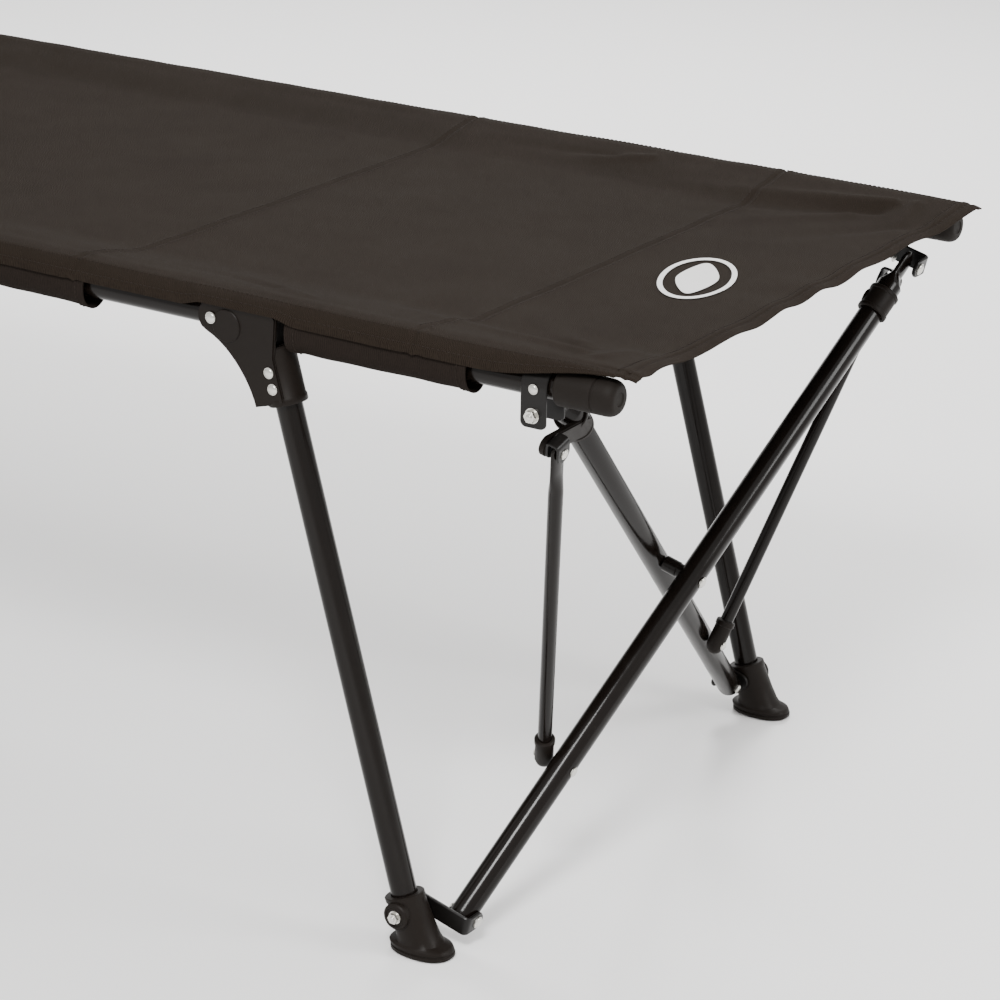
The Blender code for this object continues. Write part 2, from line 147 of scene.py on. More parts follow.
def mathNode(tree, operation, *values, clamp=False):
    inputs = dict(enumerate(values))
    return nodeOf(tree, "ShaderNodeMath", inputs, operation=operation, use_clamp=clamp).outputs[0]


def noiseNode(tree, vector, scale, detail=4.0, rough=0.55):
    inputs = {"Vector": vector, "Scale": scale, "Detail": detail, "Roughness": rough}
    return nodeOf(tree, "ShaderNodeTexNoise", inputs).outputs["Fac"]


def buildGrainGroup():
    # fine surface grain: a height for a bump, a mask for roughness, and sparse scuffs
    inputs = [("Vector", "NodeSocketVector", (0, 0, 0)), ("Grain Scale", "NodeSocketFloat", 900.0),
              ("Scuff Scale", "NodeSocketFloat", 60.0), ("Scuff Amount", "NodeSocketFloat", 0.3)]
    group, source, sink = newShaderGroup("surfaceGrain", inputs, ("Height", "Mottle", "Scuff"))
    vector = source["Vector"]
    drawn = nodeOf(group, "ShaderNodeMapping", {"Vector": vector, "Scale": (1.0, 1.0, 0.12)})
    scuff = noiseNode(group, drawn.outputs["Vector"], source["Scuff Scale"], 8.0, 0.72)
    sharp = mathNode(group, "MULTIPLY_ADD", scuff, 9.0, -5.6, clamp=True)
    return sendOut(group, sink, {"Height": noiseNode(group, vector, source["Grain Scale"], 3.0),
                                 "Mottle": noiseNode(group, vector, 45.0, 5.0, 0.6),
                                 "Scuff": mathNode(group, "MULTIPLY", sharp, source["Scuff Amount"])})


def buildDustGroup():
    # thin dust that settles on what faces up
    inputs = [("Vector", "NodeSocketVector", (0, 0, 0)), ("Amount", "NodeSocketFloat", 0.2)]
    group, source, sink = newShaderGroup("settledDust", inputs, ("Mask",))
    normal = group.nodes.new("ShaderNodeNewGeometry").outputs["Normal"]
    height = nodeOf(group, "ShaderNodeSeparateXYZ", {0: normal}).outputs["Z"]
    upFacing = mathNode(group, "MULTIPLY_ADD", height, 1.6, -0.6, clamp=True)
    patchy = noiseNode(group, source["Vector"], 18.0, 6.0, 0.65)
    patches = mathNode(group, "MULTIPLY_ADD", patchy, 2.4, -0.7, clamp=True)
    both = mathNode(group, "MULTIPLY", upFacing, patches)
    return sendOut(group, sink, {"Mask": mathNode(group, "MULTIPLY", both, source["Amount"])})


def buildWeaveGroup():
    # plain weave from two crossed sets of threads, with slubs and a slow tone drift
    inputs = [("Vector", "NodeSocketVector", (0, 0, 0)), ("Threads", "NodeSocketFloat", 900.0),
              ("Slub", "NodeSocketFloat", 0.35)]
    group, source, sink = newShaderGroup("plainWeave", inputs, ("Height", "Drift"))
    vector = source["Vector"]
    split = nodeOf(group, "ShaderNodeSeparateXYZ", {0: vector})
    wobble = noiseNode(group, vector, 70.0, 3.0)
    waves = []
    for axis in ("X", "Y"):
        turns = mathNode(group, "MULTIPLY", split.outputs[axis], source["Threads"])
        bent = mathNode(group, "MULTIPLY_ADD", wobble, 5.0, turns)
        waves.append(mathNode(group, "SINE", mathNode(group, "MULTIPLY", bent, math.pi)))
    weave = mathNode(group, "MULTIPLY_ADD", mathNode(group, "MULTIPLY", *waves), 0.5, 0.5)
    slubs = mathNode(group, "MULTIPLY", noiseNode(group, vector, 420.0, 2.0, 0.7), source["Slub"])
    return sendOut(group, sink, {"Height": mathNode(group, "ADD", weave, slubs),
                                 "Drift": noiseNode(group, vector, 7.0, 6.0, 0.6)})


grainGroup = buildGrainGroup()
dustGroup = buildDustGroup()
weaveGroup = buildWeaveGroup()


# materials

finishes = {
    "glossBlackTube": {
        "colour": (0.0048, 0.0034, 0.0026), "worn": (0.022, 0.018, 0.015), "roughness": (0.12, 0.24),
        "grain": 700.0, "bump": 0.05, "depth": 0.0004, "scuff": 0.22, "dust": 0.05,
        "metallic": 0.0, "coat": 0.03, "specular": 0.16},
    "darkBracketSteel": {
        "colour": (0.0060, 0.0053, 0.0049), "worn": (0.11, 0.105, 0.10), "roughness": (0.27, 0.42),
        "grain": 1100.0, "bump": 0.10, "depth": 0.0005, "scuff": 0.45, "dust": 0.06,
        "metallic": 0.0, "coat": 0.0, "specular": 0.20},
    "satinBlackPlastic": {
        "colour": (0.0086, 0.0064, 0.0051), "worn": (0.024, 0.019, 0.016), "roughness": (0.36, 0.50),
        "grain": 2200.0, "bump": 0.22, "depth": 0.0004, "scuff": 0.20, "dust": 0.08,
        "metallic": 0.0, "coat": 0.0, "specular": 0.10},
    "mattePlasticCap": {
        "colour": (0.0095, 0.0074, 0.0060), "worn": (0.022, 0.020, 0.019), "roughness": (0.50, 0.64),
        "grain": 2600.0, "bump": 0.28, "depth": 0.0004, "scuff": 0.20, "dust": 0.10,
        "metallic": 0.0, "coat": 0.0, "specular": 0.10},
    "brightZinc": {
        "colour": (0.62, 0.61, 0.57), "worn": (0.36, 0.35, 0.32), "roughness": (0.20, 0.38),
        "grain": 1500.0, "bump": 0.14, "depth": 0.0003, "scuff": 0.55, "dust": 0.0,
        "metallic": 1.0, "coat": 0.0, "specular": 0.5},
}


def mixColour(tree, factor, *colours):
    first, second = [(*c, 1.0) if isinstance(c, tuple) else c for c in colours]
    inputs = {"Factor": factor, 6: first, 7: second}
    return nodeOf(tree, "ShaderNodeMix", inputs, data_type="RGBA").outputs[2]


def startMaterial(name):
    made = bpy.data.materials.new(name)
    made.use_nodes = True
    tree = made.node_tree
    return made, tree, tree.nodes["Principled BSDF"], tree.nodes.new("ShaderNodeTexCoord").outputs["Object"]


def spanNode(tree, value, source, target):
    inputs = dict(zip(("From Min", "From Max", "To Min", "To Max"), (*source, *target)))
    return nodeOf(tree, "ShaderNodeMapRange", {"Value": value, **inputs}).outputs["Result"]


def addBump(tree, shader, height, strength, distance):
    inputs = {"Strength": strength, "Distance": distance, "Height": height}
    tree.links.new(nodeOf(tree, "ShaderNodeBump", inputs).outputs["Normal"], shader.inputs["Normal"])


def setSockets(shader, values):
    for label, value in values.items():
        shader.inputs[label].default_value = value


def hardMaterial(name):
    finish = finishes[name]
    made, tree, shader, place = startMaterial(name)
    values = {"Vector": place, "Grain Scale": finish["grain"], "Scuff Amount": finish["scuff"]}
    grain = nodeOf(tree, "ShaderNodeGroup", values, node_tree=grainGroup).outputs
    dust = nodeOf(tree, "ShaderNodeGroup", {"Vector": place, "Amount": finish["dust"]}, node_tree=dustGroup)
    worn = mixColour(tree, grain["Scuff"], finish["colour"], finish["worn"])
    dusty = mixColour(tree, dust.outputs["Mask"], worn, (0.08, 0.075, 0.07))
    rough = spanNode(tree, grain["Mottle"], (0.3, 0.7), finish["roughness"])
    sendOut(tree, shader, {"Base Color": dusty, "Roughness": rough})
    addBump(tree, shader, grain["Height"], finish["bump"], finish["depth"])
    setSockets(shader, {"Metallic": finish["metallic"], "Specular IOR Level": finish["specular"],
                        "Coat Weight": finish["coat"], "Coat Roughness": 0.12})
    return made


cloths = {
    "bedWeave": {"dark": (0.0048, 0.0033, 0.0024), "light": (0.0215, 0.0160, 0.0121), "threads": 1150.0,
                 "bump": 0.85, "roughness": 0.82},
    "sleeveWeave": {"dark": (0.0070, 0.0052, 0.0043), "light": (0.0165, 0.0126, 0.0104), "threads": 1150.0,
                    "bump": 0.55, "roughness": 0.84},
    "pillowWeave": {"dark": (0.0110, 0.0082, 0.0066), "light": (0.0240, 0.0186, 0.0154), "threads": 1250.0,
                    "bump": 0.50, "roughness": 0.86},
    "seamThread": {"dark": (0.0100, 0.0076, 0.0062), "light": (0.0280, 0.0220, 0.0185), "threads": 2600.0,
                   "bump": 0.40, "roughness": 0.60},
    "whitePrint": {"dark": (0.52, 0.515, 0.50), "light": (0.80, 0.795, 0.78), "threads": 1150.0,
                   "bump": 0.45, "roughness": 0.62},
}


def clothMaterial(name):
    cloth = cloths[name]
    made, tree, shader, place = startMaterial(name)
    weave = nodeOf(tree, "ShaderNodeGroup", {"Vector": place, "Threads": cloth["threads"]},
                   node_tree=weaveGroup)
    threads = mixColour(tree, weave.outputs["Height"], cloth["dark"], cloth["light"])
    drift = spanNode(tree, weave.outputs["Drift"], (0.35, 0.65), (0.0, 0.22))
    toned = mixColour(tree, drift, threads, cloth["light"])
    dust = nodeOf(tree, "ShaderNodeGroup", {"Vector": place, "Amount": 0.03}, node_tree=dustGroup)
    dusty = mixColour(tree, dust.outputs["Mask"], toned, (0.10, 0.09, 0.08))
    sendOut(tree, shader, {"Base Color": dusty})
    addBump(tree, shader, weave.outputs["Height"], cloth["bump"], 0.0006)
    setSockets(shader, {"Roughness": cloth["roughness"], "Specular IOR Level": 0.03})
    return made


materials = {name: hardMaterial(name) for name in finishes}
materials.update({name: clothMaterial(name) for name in cloths})
print("materials made:", len(materials))


# mesh helpers

def shadeByAngle(obj, angle=35.0):
    obj.data.shade_smooth()
    obj.data.set_sharp_from_angle(angle=math.radians(angle))


def meshObject(name, bm, materialName):
    mesh = bpy.data.meshes.new(name)
    bm.to_mesh(mesh)
    bm.free()
    obj = bpy.data.objects.new(name, mesh)
    obj.data.materials.append(materials[materialName])
    bpy.context.scene.collection.objects.link(obj)
    return obj


def faceUpward(bm):
    bmesh.ops.recalc_face_normals(bm, faces=bm.faces)
    if sum(f.normal.z for f in bm.faces) < 0:
        bmesh.ops.reverse_faces(bm, faces=bm.faces)


def bakeModifiers(obj):
    bpy.context.view_layer.update()
    graph = bpy.context.evaluated_depsgraph_get()
    mesh = bpy.data.meshes.new_from_object(obj.evaluated_get(graph))
    obj.modifiers.clear()
    obj.data = mesh


def thicken(obj, thickness, offset):
    wall = obj.modifiers.new("thickness", "SOLIDIFY")
    wall.thickness = thickness
    wall.offset = offset
    bakeModifiers(obj)


def mergeInto(bm, part):
    spare = bpy.data.meshes.new("part")
    part.to_mesh(spare)
    part.free()
    bm.from_mesh(spare)
    bpy.data.meshes.remove(spare)
    return bm


def addPiece(name, bm, materialName, body, replaced=(), place=None, angle=35.0):
    # one finished piece at the origin, riding on its body
    if place is not None:
        bm.transform(place)
    bmesh.ops.remove_doubles(bm, verts=bm.verts, dist=0.000002)
    bmesh.ops.recalc_face_normals(bm, faces=bm.faces)
    obj = meshObject(name, bm, materialName)
    shadeByAngle(obj, angle)
    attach(obj, body)
    if replaced:
        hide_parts(*replaced)
    return obj


def latheInto(bm, profile, origin, direction, steps=40, loop=False):
    # turns (radius, along) points about a line; a radius of 0 is a pole
    origin = Vector(origin)
    turn = Vector((0, 0, 1)).rotation_difference(Vector(direction).normalized()).to_matrix()
    rings = []
    for radius, along in profile:
        if radius < 1e-6:
            rings.append([bm.verts.new(origin + turn @ Vector((0, 0, along)))])
            continue
        ring = []
        for step in range(steps):
            angle = 2 * math.pi * step / steps
            point = Vector((radius * math.cos(angle), radius * math.sin(angle), along))
            ring.append(bm.verts.new(origin + turn @ point))
        rings.append(ring)
    pairs = list(zip(rings, rings[1:]))
    if loop:
        pairs.append((rings[-1], rings[0]))
    for first, second in pairs:
        for step in range(steps):
            after = (step + 1) % steps
            corners = [first[step % len(first)], first[after % len(first)],
                       second[after % len(second)], second[step % len(second)]]
            unique = []
            for corner in corners:
                if corner not in unique:
                    unique.append(corner)
            if len(unique) > 2:
                bm.faces.new(unique)
    return bm


def tubeProfile(length, radius, chamfer=0.0008):
    return [(0, 0), (radius - chamfer, 0), (radius, chamfer), (radius, length - chamfer),
            (radius - chamfer, length), (0, length)]


def arcPoints(cx, cz, radius, start, end, steps):
    angles = [math.radians(start + (end - start) * i / steps) for i in range(steps + 1)]
    return [(cx + radius * math.cos(a), cz + radius * math.sin(a)) for a in angles]


def plateInto(bm, outline, low, high, edge=0.0010):
    # an outline in X and Z, thickened along Y, with softened rims
    part = bmesh.new()
    base = [part.verts.new((x, low, z)) for x, z in outline]
    face = part.faces.new(base)
    grown = bmesh.ops.extrude_face_region(part, geom=[face])
    moved = [v for v in grown["geom"] if isinstance(v, bmesh.types.BMVert)]
    bmesh.ops.translate(part, verts=moved, vec=(0, high - low, 0))
    rims = [e for e in part.edges if abs(e.verts[0].co.y - e.verts[1].co.y) < 1e-7]
    bmesh.ops.bevel(part, geom=rims, offset=edge, segments=2, affect="EDGES", clamp_overlap=True)
    bmesh.ops.recalc_face_normals(part, faces=part.faces)
    bmesh.ops.triangulate(part, faces=[f for f in part.faces if len(f.verts) > 4])
    return mergeInto(bm, part)


def roundedPath(points, radius, steps=6):
    # a path of straight runs with each corner rounded
    path = [Vector(points[0])]
    for before, corner, after in zip(points, points[1:], points[2:]):
        corner = Vector(corner)
        start = corner + (Vector(before) - corner).normalized() * radius
        end = corner + (Vector(after) - corner).normalized() * radius
        for i in range(steps + 1):
            t = i / steps
            path.append(start * (1 - t) ** 2 + corner * 2 * t * (1 - t) + end * t ** 2)
    path.append(Vector(points[-1]))
    return path


def strapInto(bm, points, across, width, thickness, bend, endRound):
    # a flat strip along a bent path, with rounded ends and softened edges
    path = roundedPath(points, bend)
    runs = [0.0]
    for a, b in zip(path, path[1:]):
        runs.append(runs[-1] + (b - a).length)
    total = runs[-1]

    def at(distance):
        distance = min(max(distance, 0.0), total)
        for i in range(len(runs) - 1):
            if distance <= runs[i + 1] + 1e-9:
                share = (distance - runs[i]) / max(runs[i + 1] - runs[i], 1e-9)
                return path[i].lerp(path[i + 1], share), (path[i + 1] - path[i]).normalized()
        return path[-1], (path[-1] - path[-2]).normalized()

    ends = [endRound * (1 - math.cos(math.pi / 2 * i / 6)) for i in range(7)]
    middle = [r for r in runs if endRound < r < total - endRound]
    stations = ends + middle + [total - e for e in reversed(ends)]
    across = Vector(across).normalized()
    soft = thickness * 0.28
    rings = []
    for distance in stations:
        point, along = at(distance)
        normal = along.cross(across).normalized()
        left = min(distance, total - distance)
        half = width / 2
        if left < endRound:
            half = width / 2 - endRound + math.sqrt(max(endRound ** 2 - (endRound - left) ** 2, 0.0))
        half = max(half, soft * 1.2)
        section = [(-half + soft, thickness / 2), (half - soft, thickness / 2), (half, thickness / 2 - soft),
                   (half, -thickness / 2 + soft), (half - soft, -thickness / 2),
                   (-half + soft, -thickness / 2),
                   (-half, -thickness / 2 + soft), (-half, thickness / 2 - soft)]
        rings.append([bm.verts.new(point + across * a + normal * b) for a, b in section])
    for first, second in zip(rings, rings[1:]):
        for i in range(8):
            j = (i + 1) % 8
            bm.faces.new([first[i], first[j], second[j], second[i]])
    bm.faces.new(list(reversed(rings[0])))
    bm.faces.new(rings[-1])
    return bm


def loftInto(bm, rings):
    # rings of points, capped at both ends
    made = [[bm.verts.new(p) for p in ring] for ring in rings]
    count = len(made[0])
    for first, second in zip(made, made[1:]):
        for i in range(count):
            j = (i + 1) % count
            bm.faces.new([first[i], first[j], second[j], second[i]])
    bm.faces.new(list(reversed(made[0])))
    bm.faces.new(made[-1])
    return bm


# tubes

tubes = {"steps": 44, "pressed": 0.026, "strutRadius": 0.006, "strutFoot": 0.150, "strutTopInset": 0.013,
         "strutTopDrop": 0.032}


def tubeBetween(name, start, end, radius, body, replaced, place):
    start, end = Vector(start), Vector(end)
    bm = latheInto(bmesh.new(), tubeProfile((end - start).length, radius), start, end - start,
                   tubes["steps"])
    return addPiece(name, bm, "glossBlackTube", body, replaced, place)


def domedProfile(length, radius):
    steps = 8
    low = [(radius * math.sin(math.pi / 2 * i / steps), -radius * math.cos(math.pi / 2 * i / steps))
           for i in range(steps + 1)]
    high = [(r, length - along) for r, along in reversed(low)]
    return low + [(radius, length - tubes["pressed"] + 0.001 * i) for i in range(12)] + high


def pressEnd(bm, end, along):
    # presses the tube's top flat, towards its middle plane
    across = along.cross(outVector).normalized()
    for vert in bm.verts:
        away = vert.co - end
        share = min(max((away.dot(along) + tubes["pressed"]) / 0.010, 0.0), 1.0)
        vert.co -= outVector * away.dot(outVector) * 0.62 * share
        vert.co -= across * away.dot(across) * 0.12 * share


def buildTubes():
    for corner, place in cornerPlace.items():
        tubeBetween(corner + "_legTube", legPoint(0, 0, -railY), legPoint(legLength, 0, -railY), tubeRadius,
                    corner + "_leg", [corner + "_leg_tube"], place)
        tubeBetween(corner + "_midRail", (0.004, -railY, railZ), (cot["midPivot"][0] + 0.010, -railY, railZ),
                    tubeRadius, corner + "_mid", [corner + "_mid_rail"], place)
        tubeBetween(corner + "_endRail", (cot["endPivot"][0] - 0.005, -railY, railZ),
                    (cot["halfLength"] - 0.022, -railY, railZ), tubeRadius, corner + "_end",
                    [corner + "_end_rail"], place)
    for corner, (side, layer, outboard, place) in scissorPlace.items():
        low = alongDiagonal(0.0, side, layer)
        high = alongDiagonal(diagonalLength, side, layer)
        bm = latheInto(bmesh.new(), domedProfile(diagonalLength, tubeRadius), low, high - low,
                       tubes["steps"])
        pressEnd(bm, high, (high - low).normalized())
        if layer == cot["outerLayer"]:
            near = scissorPoint(0.0, rise / 2, cot["innerLayer"] + tubeRadius + 0.0005)
            length = cot["outerLayer"] - cot["innerLayer"] - tubeRadius - 0.0005
            spacer = [(0, 0), (0.0062, 0), (0.0070, 0.0008), (0.0070, length * 0.5), (0.0064, length * 0.52),
                      (0.0064, length), (0, length)]
            latheInto(bm, spacer, near, outVector, 32)
        addPiece(corner + "_diagonal", bm, "glossBlackTube", corner + "_diagonal",
                 [corner + "_diagonal_tube"], place)


buildTubes()
print("tubes done")


# brace struts, with a pressed flat head and a cup at the foot

strut = {"flatLength": 0.034, "flatHalf": 0.0030, "flatWidth": 0.0080, "cupRadius": 0.0080, "cupRim": 0.0088}


def strutEnds(side):
    foot = alongDiagonal(tubes["strutFoot"], side, cot["strutLayer"])
    head = scissorPoint(side * (railY - tubes["strutTopInset"]), rise - tubes["strutTopDrop"],
                        cot["strutLayer"])
    return foot, head


def buildStruts():
    for corner, (side, layer, outboard, place) in scissorPlace.items():
        foot, head = strutEnds(side)
        along = (head - foot).normalized()
        across = along.cross(outVector).normalized()
        length = (head - foot).length
        radius = tubes["strutRadius"]
        stations = [(0.0, 0.0), (length - strut["flatLength"] - 0.012, 0.0)]
        stations += [(length - strut["flatLength"] - 0.012 + 0.024 * i / 8, i / 8) for i in range(1, 9)]
        stations += [(length, 1.0)]
        rings = []
        for distance, share in stations:
            ease = share * share * (3 - 2 * share)
            thin = radius + (strut["flatHalf"] - radius) * ease
            wide = radius + (strut["flatWidth"] - radius) * ease
            rings.append((distance, thin, wide))
        for i in range(1, 7):
            angle = math.pi / 2 * i / 6
            rings.append((length + strut["flatWidth"] * 0.85 * math.sin(angle), strut["flatHalf"] * 0.98,
                          max(strut["flatWidth"] * math.cos(angle), 0.0015)))
        loops = []
        for distance, thin, wide in rings:
            centre = foot + along * distance
            loops.append([centre + across * wide * math.cos(2 * math.pi * k / 32)
                          + outVector * thin * math.sin(2 * math.pi * k / 32) for k in range(32)])
        bm = loftInto(bmesh.new(), loops)
        cup, rim = strut["cupRadius"], strut["cupRim"]
        profile = [(0, -0.0108), (0.0040, -0.0100), (0.0066, -0.0074), (cup, -0.0032), (cup, 0.0166),
                   (rim, 0.0176),
                   (rim, 0.0216), (rim - 0.0012, 0.0226), (0.0062, 0.0226), (0, 0.0226)]
        addPiece(corner + "_strut", bm, "glossBlackTube", corner + "_strut",
                 [corner + "_brace_strut"], place)
        cupPiece = latheInto(bmesh.new(), profile, foot, along, 36)
        addPiece(corner + "_strutCup", cupPiece, "satinBlackPlastic", corner + "_strut", (),
                 place)


buildStruts()
print("struts done")


# leg knuckles

knuckle = {"inner": 0.0117, "outer": 0.0158, "socket": 0.0155, "plateEdge": 0.0075, "length": 0.047,
           "arc": 0.0144, "edge": 0.0012, "padCentre": (0.6035, 0.5075), "padRadius": 0.0136}


def knuckleHollow():
    start = (cot["midPivot"][0] - 0.012, cot["midPivot"][1] - 0.0105)
    low = legPoint(knuckle["length"] - 0.002, -0.022)
    points = []
    for i in range(1, 13):
        share = i / 12
        turn = math.pi / 2 * share
        x = start[0] + 0.036 * math.sin(turn) + (low.x - start[0] - 0.036) * share
        z = start[1] + (low.z - start[1]) * (1 - math.cos(turn) * (1 - 0.3 * share))
        points.append((x, z))
    return points


def buildKnuckles():
    base = arcPoints(*cot["midPivot"], knuckle["arc"], 92, 221, 14) + knuckleHollow()
    lowRight = legPoint(knuckle["length"] - 0.002, knuckle["plateEdge"])
    highRight = legPoint(0.008, knuckle["plateEdge"])
    base += [(lowRight.x, lowRight.z), (highRight.x, highRight.z)]
    outerTop = [(cot["legTop"][0] + 0.0115, railZ + 0.0085), (cot["legTop"][0] + 0.0075, railZ + 0.0138)]
    innerTop = arcPoints(*cot["endPivot"], 0.0128, -60, 90, 10)
    for corner, place in cornerPlace.items():
        bm = plateInto(bmesh.new(), base + outerTop, -railY - knuckle["outer"], -railY - knuckle["inner"],
                       knuckle["edge"])
        plateInto(bm, base + innerTop, -railY + knuckle["inner"], -railY + knuckle["outer"], knuckle["edge"])
        edge = knuckle["padRadius"]
        pad = [(0, 0), (edge, 0), (edge, 0.0046), (edge - 0.0006, 0.0052), (0, 0.0052)]
        x, z = knuckle["padCentre"]
        latheInto(bm, pad, (x, -railY - knuckle["inner"], z), (0, -1, 0), 40)
        length, radius = knuckle["length"], knuckle["socket"]
        bore = tubeRadius + 0.0002
        ring = [(bore, 0.0004), (radius - 0.0012, 0.0), (radius, 0.0012), (radius, length - 0.0065),
                (radius + 0.0007, length - 0.0055), (radius + 0.0007, length - 0.0010), (radius, length),
                (bore, length)]
        latheInto(bm, ring, legPoint(0, 0, -railY), (legDown[0], 0, legDown[1]), 44, loop=True)
        addPiece(corner + "_knuckle", bm, "satinBlackPlastic", corner + "_leg",
                 [corner + "_leg_knuckle"], place)


buildKnuckles()
print("knuckles done")


# boots

boot = {"forward": 0.015, "depth": 0.014, "sole": (0.0285, 0.0190), "soleTop": 0.0088,
        "bossRadius": 0.0116}


def superRing(centre, first, second, a, b, power=2.0, count=48):
    ring = []
    for k in range(count):
        angle = 2 * math.pi * k / count
        c, s = math.cos(angle), math.sin(angle)
        reach = (abs(c) ** power + abs(s) ** power) ** (-1 / power)
        ring.append(centre + first * a * reach * c + second * b * reach * s)
    return ring


def buildBoots():
    soleX = cot["footBolt"][0] + boot["forward"]
    rimPoint = legPoint(legLength - boot["depth"], 0, -railY)
    length, width = boot["sole"]
    flat = Vector((1, 0, 0))
    slant = Vector((legSide[0], 0, legSide[1])) * (1 if legSide[0] > 0 else -1)
    y = Vector((0, 1, 0))

    def level(z, a, b, lean, power=2.3):
        share = min(max((z - 0.004) / (rimPoint.z - 0.004), 0.0), 1.0)
        centre = Vector((soleX + (rimPoint.x - soleX) * share, -railY, z))
        first = flat.lerp(slant, lean).normalized()
        return superRing(centre, first, y, a, b, power)

    top, rim = boot["soleTop"], rimPoint.z
    # height, half length, half width, lean from level to square with the leg, and squareness
    stations = [
        (0.0, length - 0.0014, width - 0.0014, 0),
        (0.0012, length, width, 0),
        (0.0034, length, width, 0),
        (0.0040, length - 0.0011, width - 0.0011, 0),
        (0.0050, length - 0.0011, width - 0.0011, 0),
        (0.0056, length - 0.0002, width - 0.0002, 0),
        (top - 0.0010, length - 0.0004, width - 0.0004, 0),
        (top, length - 0.0018, width - 0.0016, 0),
        (top + 0.0012, 0.0205, 0.0170, 0.05),
        (top + 0.0050, 0.0180, 0.0166, 0.2),
        (0.0240, 0.0168, 0.0164, 0.5, 2.1),
        (rim - 0.0050, 0.0162, 0.0160, 0.9, 2.0),
        (rim - 0.0040, 0.0168, 0.0166, 1.0, 2.0),
        (rim - 0.0006, 0.0168, 0.0166, 1.0, 2.0),
        (rim, 0.0160, 0.0158, 1.0, 2.0),
        (rim, 0.0114, 0.0114, 1.0, 2.0),
        (rim - 0.0060, 0.0112, 0.0112, 1.0, 2.0),
    ]
    rings = [level(*station) for station in stations]
    for corner, place in cornerPlace.items():
        bm = loftInto(bmesh.new(), rings)
        radius = boot["bossRadius"]
        boss = [(0, 0), (radius, 0), (radius, 0.0070), (radius - 0.0010, 0.0082), (radius - 0.0028, 0.0084),
                (radius - 0.0034, 0.0076), (0, 0.0076)]
        latheInto(bm, boss, (cot["footBolt"][0], -railY - 0.0110, cot["footBolt"][1]), (0, -1, 0), 36)
        addPiece(corner + "_boot", bm, "satinBlackPlastic", corner + "_leg",
                 [corner + "_leg_foot"], place)


buildBoots()
print("boots done")


# rail end caps, brackets, yokes and clevises

endCap = {"start": 0.9060, "radius": 0.0146, "dome": 0.0090}
bracket = {"gap": 0.0118, "thickness": 0.0026, "width": 0.0228, "bottom": 0.480, "corner": 0.0045}
fitting = {"plate": 0.0032, "half": 0.0085, "clevisInset": 0.0166, "yokeInset": 0.0150, "bend": 0.0042}


def buildRailEnds():
    end = cot["halfLength"] - 0.0080
    radius = endCap["radius"]
    for corner, place in cornerPlace.items():
        profile = [(tubeRadius + 0.0002, endCap["start"] + 0.0004), (radius - 0.0010, endCap["start"]),
                   (radius, endCap["start"] + 0.0012), (radius, end - 0.0190),
                   (radius - 0.0007, end - 0.0184),
                   (radius - 0.0007, end - 0.0172), (radius, end - 0.0166)]
        profile += [(radius - endCap["dome"] * (1 - math.cos(a)) * 0.62, end - 0.0090 + 0.0090 * math.sin(a))
                    for a in (math.pi / 2 * i / 8 for i in range(9))]
        profile += [(0.0060, end), (0.0052, end - 0.0008), (0, end - 0.0008), (0, end - 0.0120),
                    (tubeRadius + 0.0002, end - 0.0120)]
        bm = latheInto(bmesh.new(), profile, (0, -railY, railZ), (1, 0, 0), 48, loop=True)
        addPiece(corner + "_endCap", bm, "mattePlasticCap", corner + "_end",
                 [corner + "_end_cap"], place)

        x = cot["endBolt"][0]
        reach = bracket["gap"] + bracket["thickness"] / 2
        arch = [(x, -railY + reach * math.cos(a), railZ + reach * math.sin(a))
                for a in (math.pi * i / 10 for i in range(11))]
        points = [(x, -railY + reach, bracket["bottom"])] + arch + [(x, -railY - reach, bracket["bottom"])]
        strap = strapInto(bmesh.new(), points, (1, 0, 0), bracket["width"], bracket["thickness"], 0.0012,
                          bracket["corner"])
        addPiece(corner + "_bracket", strap, "darkBracketSteel", corner + "_end",
                 [corner + "_end_bracket"],
                 place)


def fittingSpots(side, height, layer, outboard):
    inset = fitting["yokeInset"] if height > 0 else fitting["clevisInset"]
    leafY = side * (railY - inset - 0.0017)
    face = layer + outboard * (tubeRadius + 0.0004 + fitting["plate"] / 2)
    return leafY, face


def buildFittings():
    for corner, (side, layer, outboard, place) in scissorPlace.items():
        for word, height, atSide, node in (("clevis", 0.0, side, "_foot_clevis"),
                                           ("yoke", rise, -side, "_top_yoke")):
            leafY, face = fittingSpots(atSide, height, layer, outboard)
            half = fitting["half"]
            points = [scissorPoint(leafY, height, -outboard * half), scissorPoint(leafY, height, face),
                      scissorPoint(atSide * (pinY - half), height, face)]
            bm = strapInto(bmesh.new(), points, upVector, 2 * half, fitting["plate"], fitting["bend"], half)
            addPiece(corner + "_" + word, bm, "darkBracketSteel", corner + "_" + word,
                     [corner + node], place)


buildRailEnds()
buildFittings()
print("rail ends and straps done")


# sliding collars with the saddle that holds the strut's head

collar = {"drop": 0.034, "length": 0.024, "radius": 0.0131, "arm": 0.0060, "armHalf": 0.0085,
          "saddleGap": 0.0040,
          "saddlePlate": 0.0022}


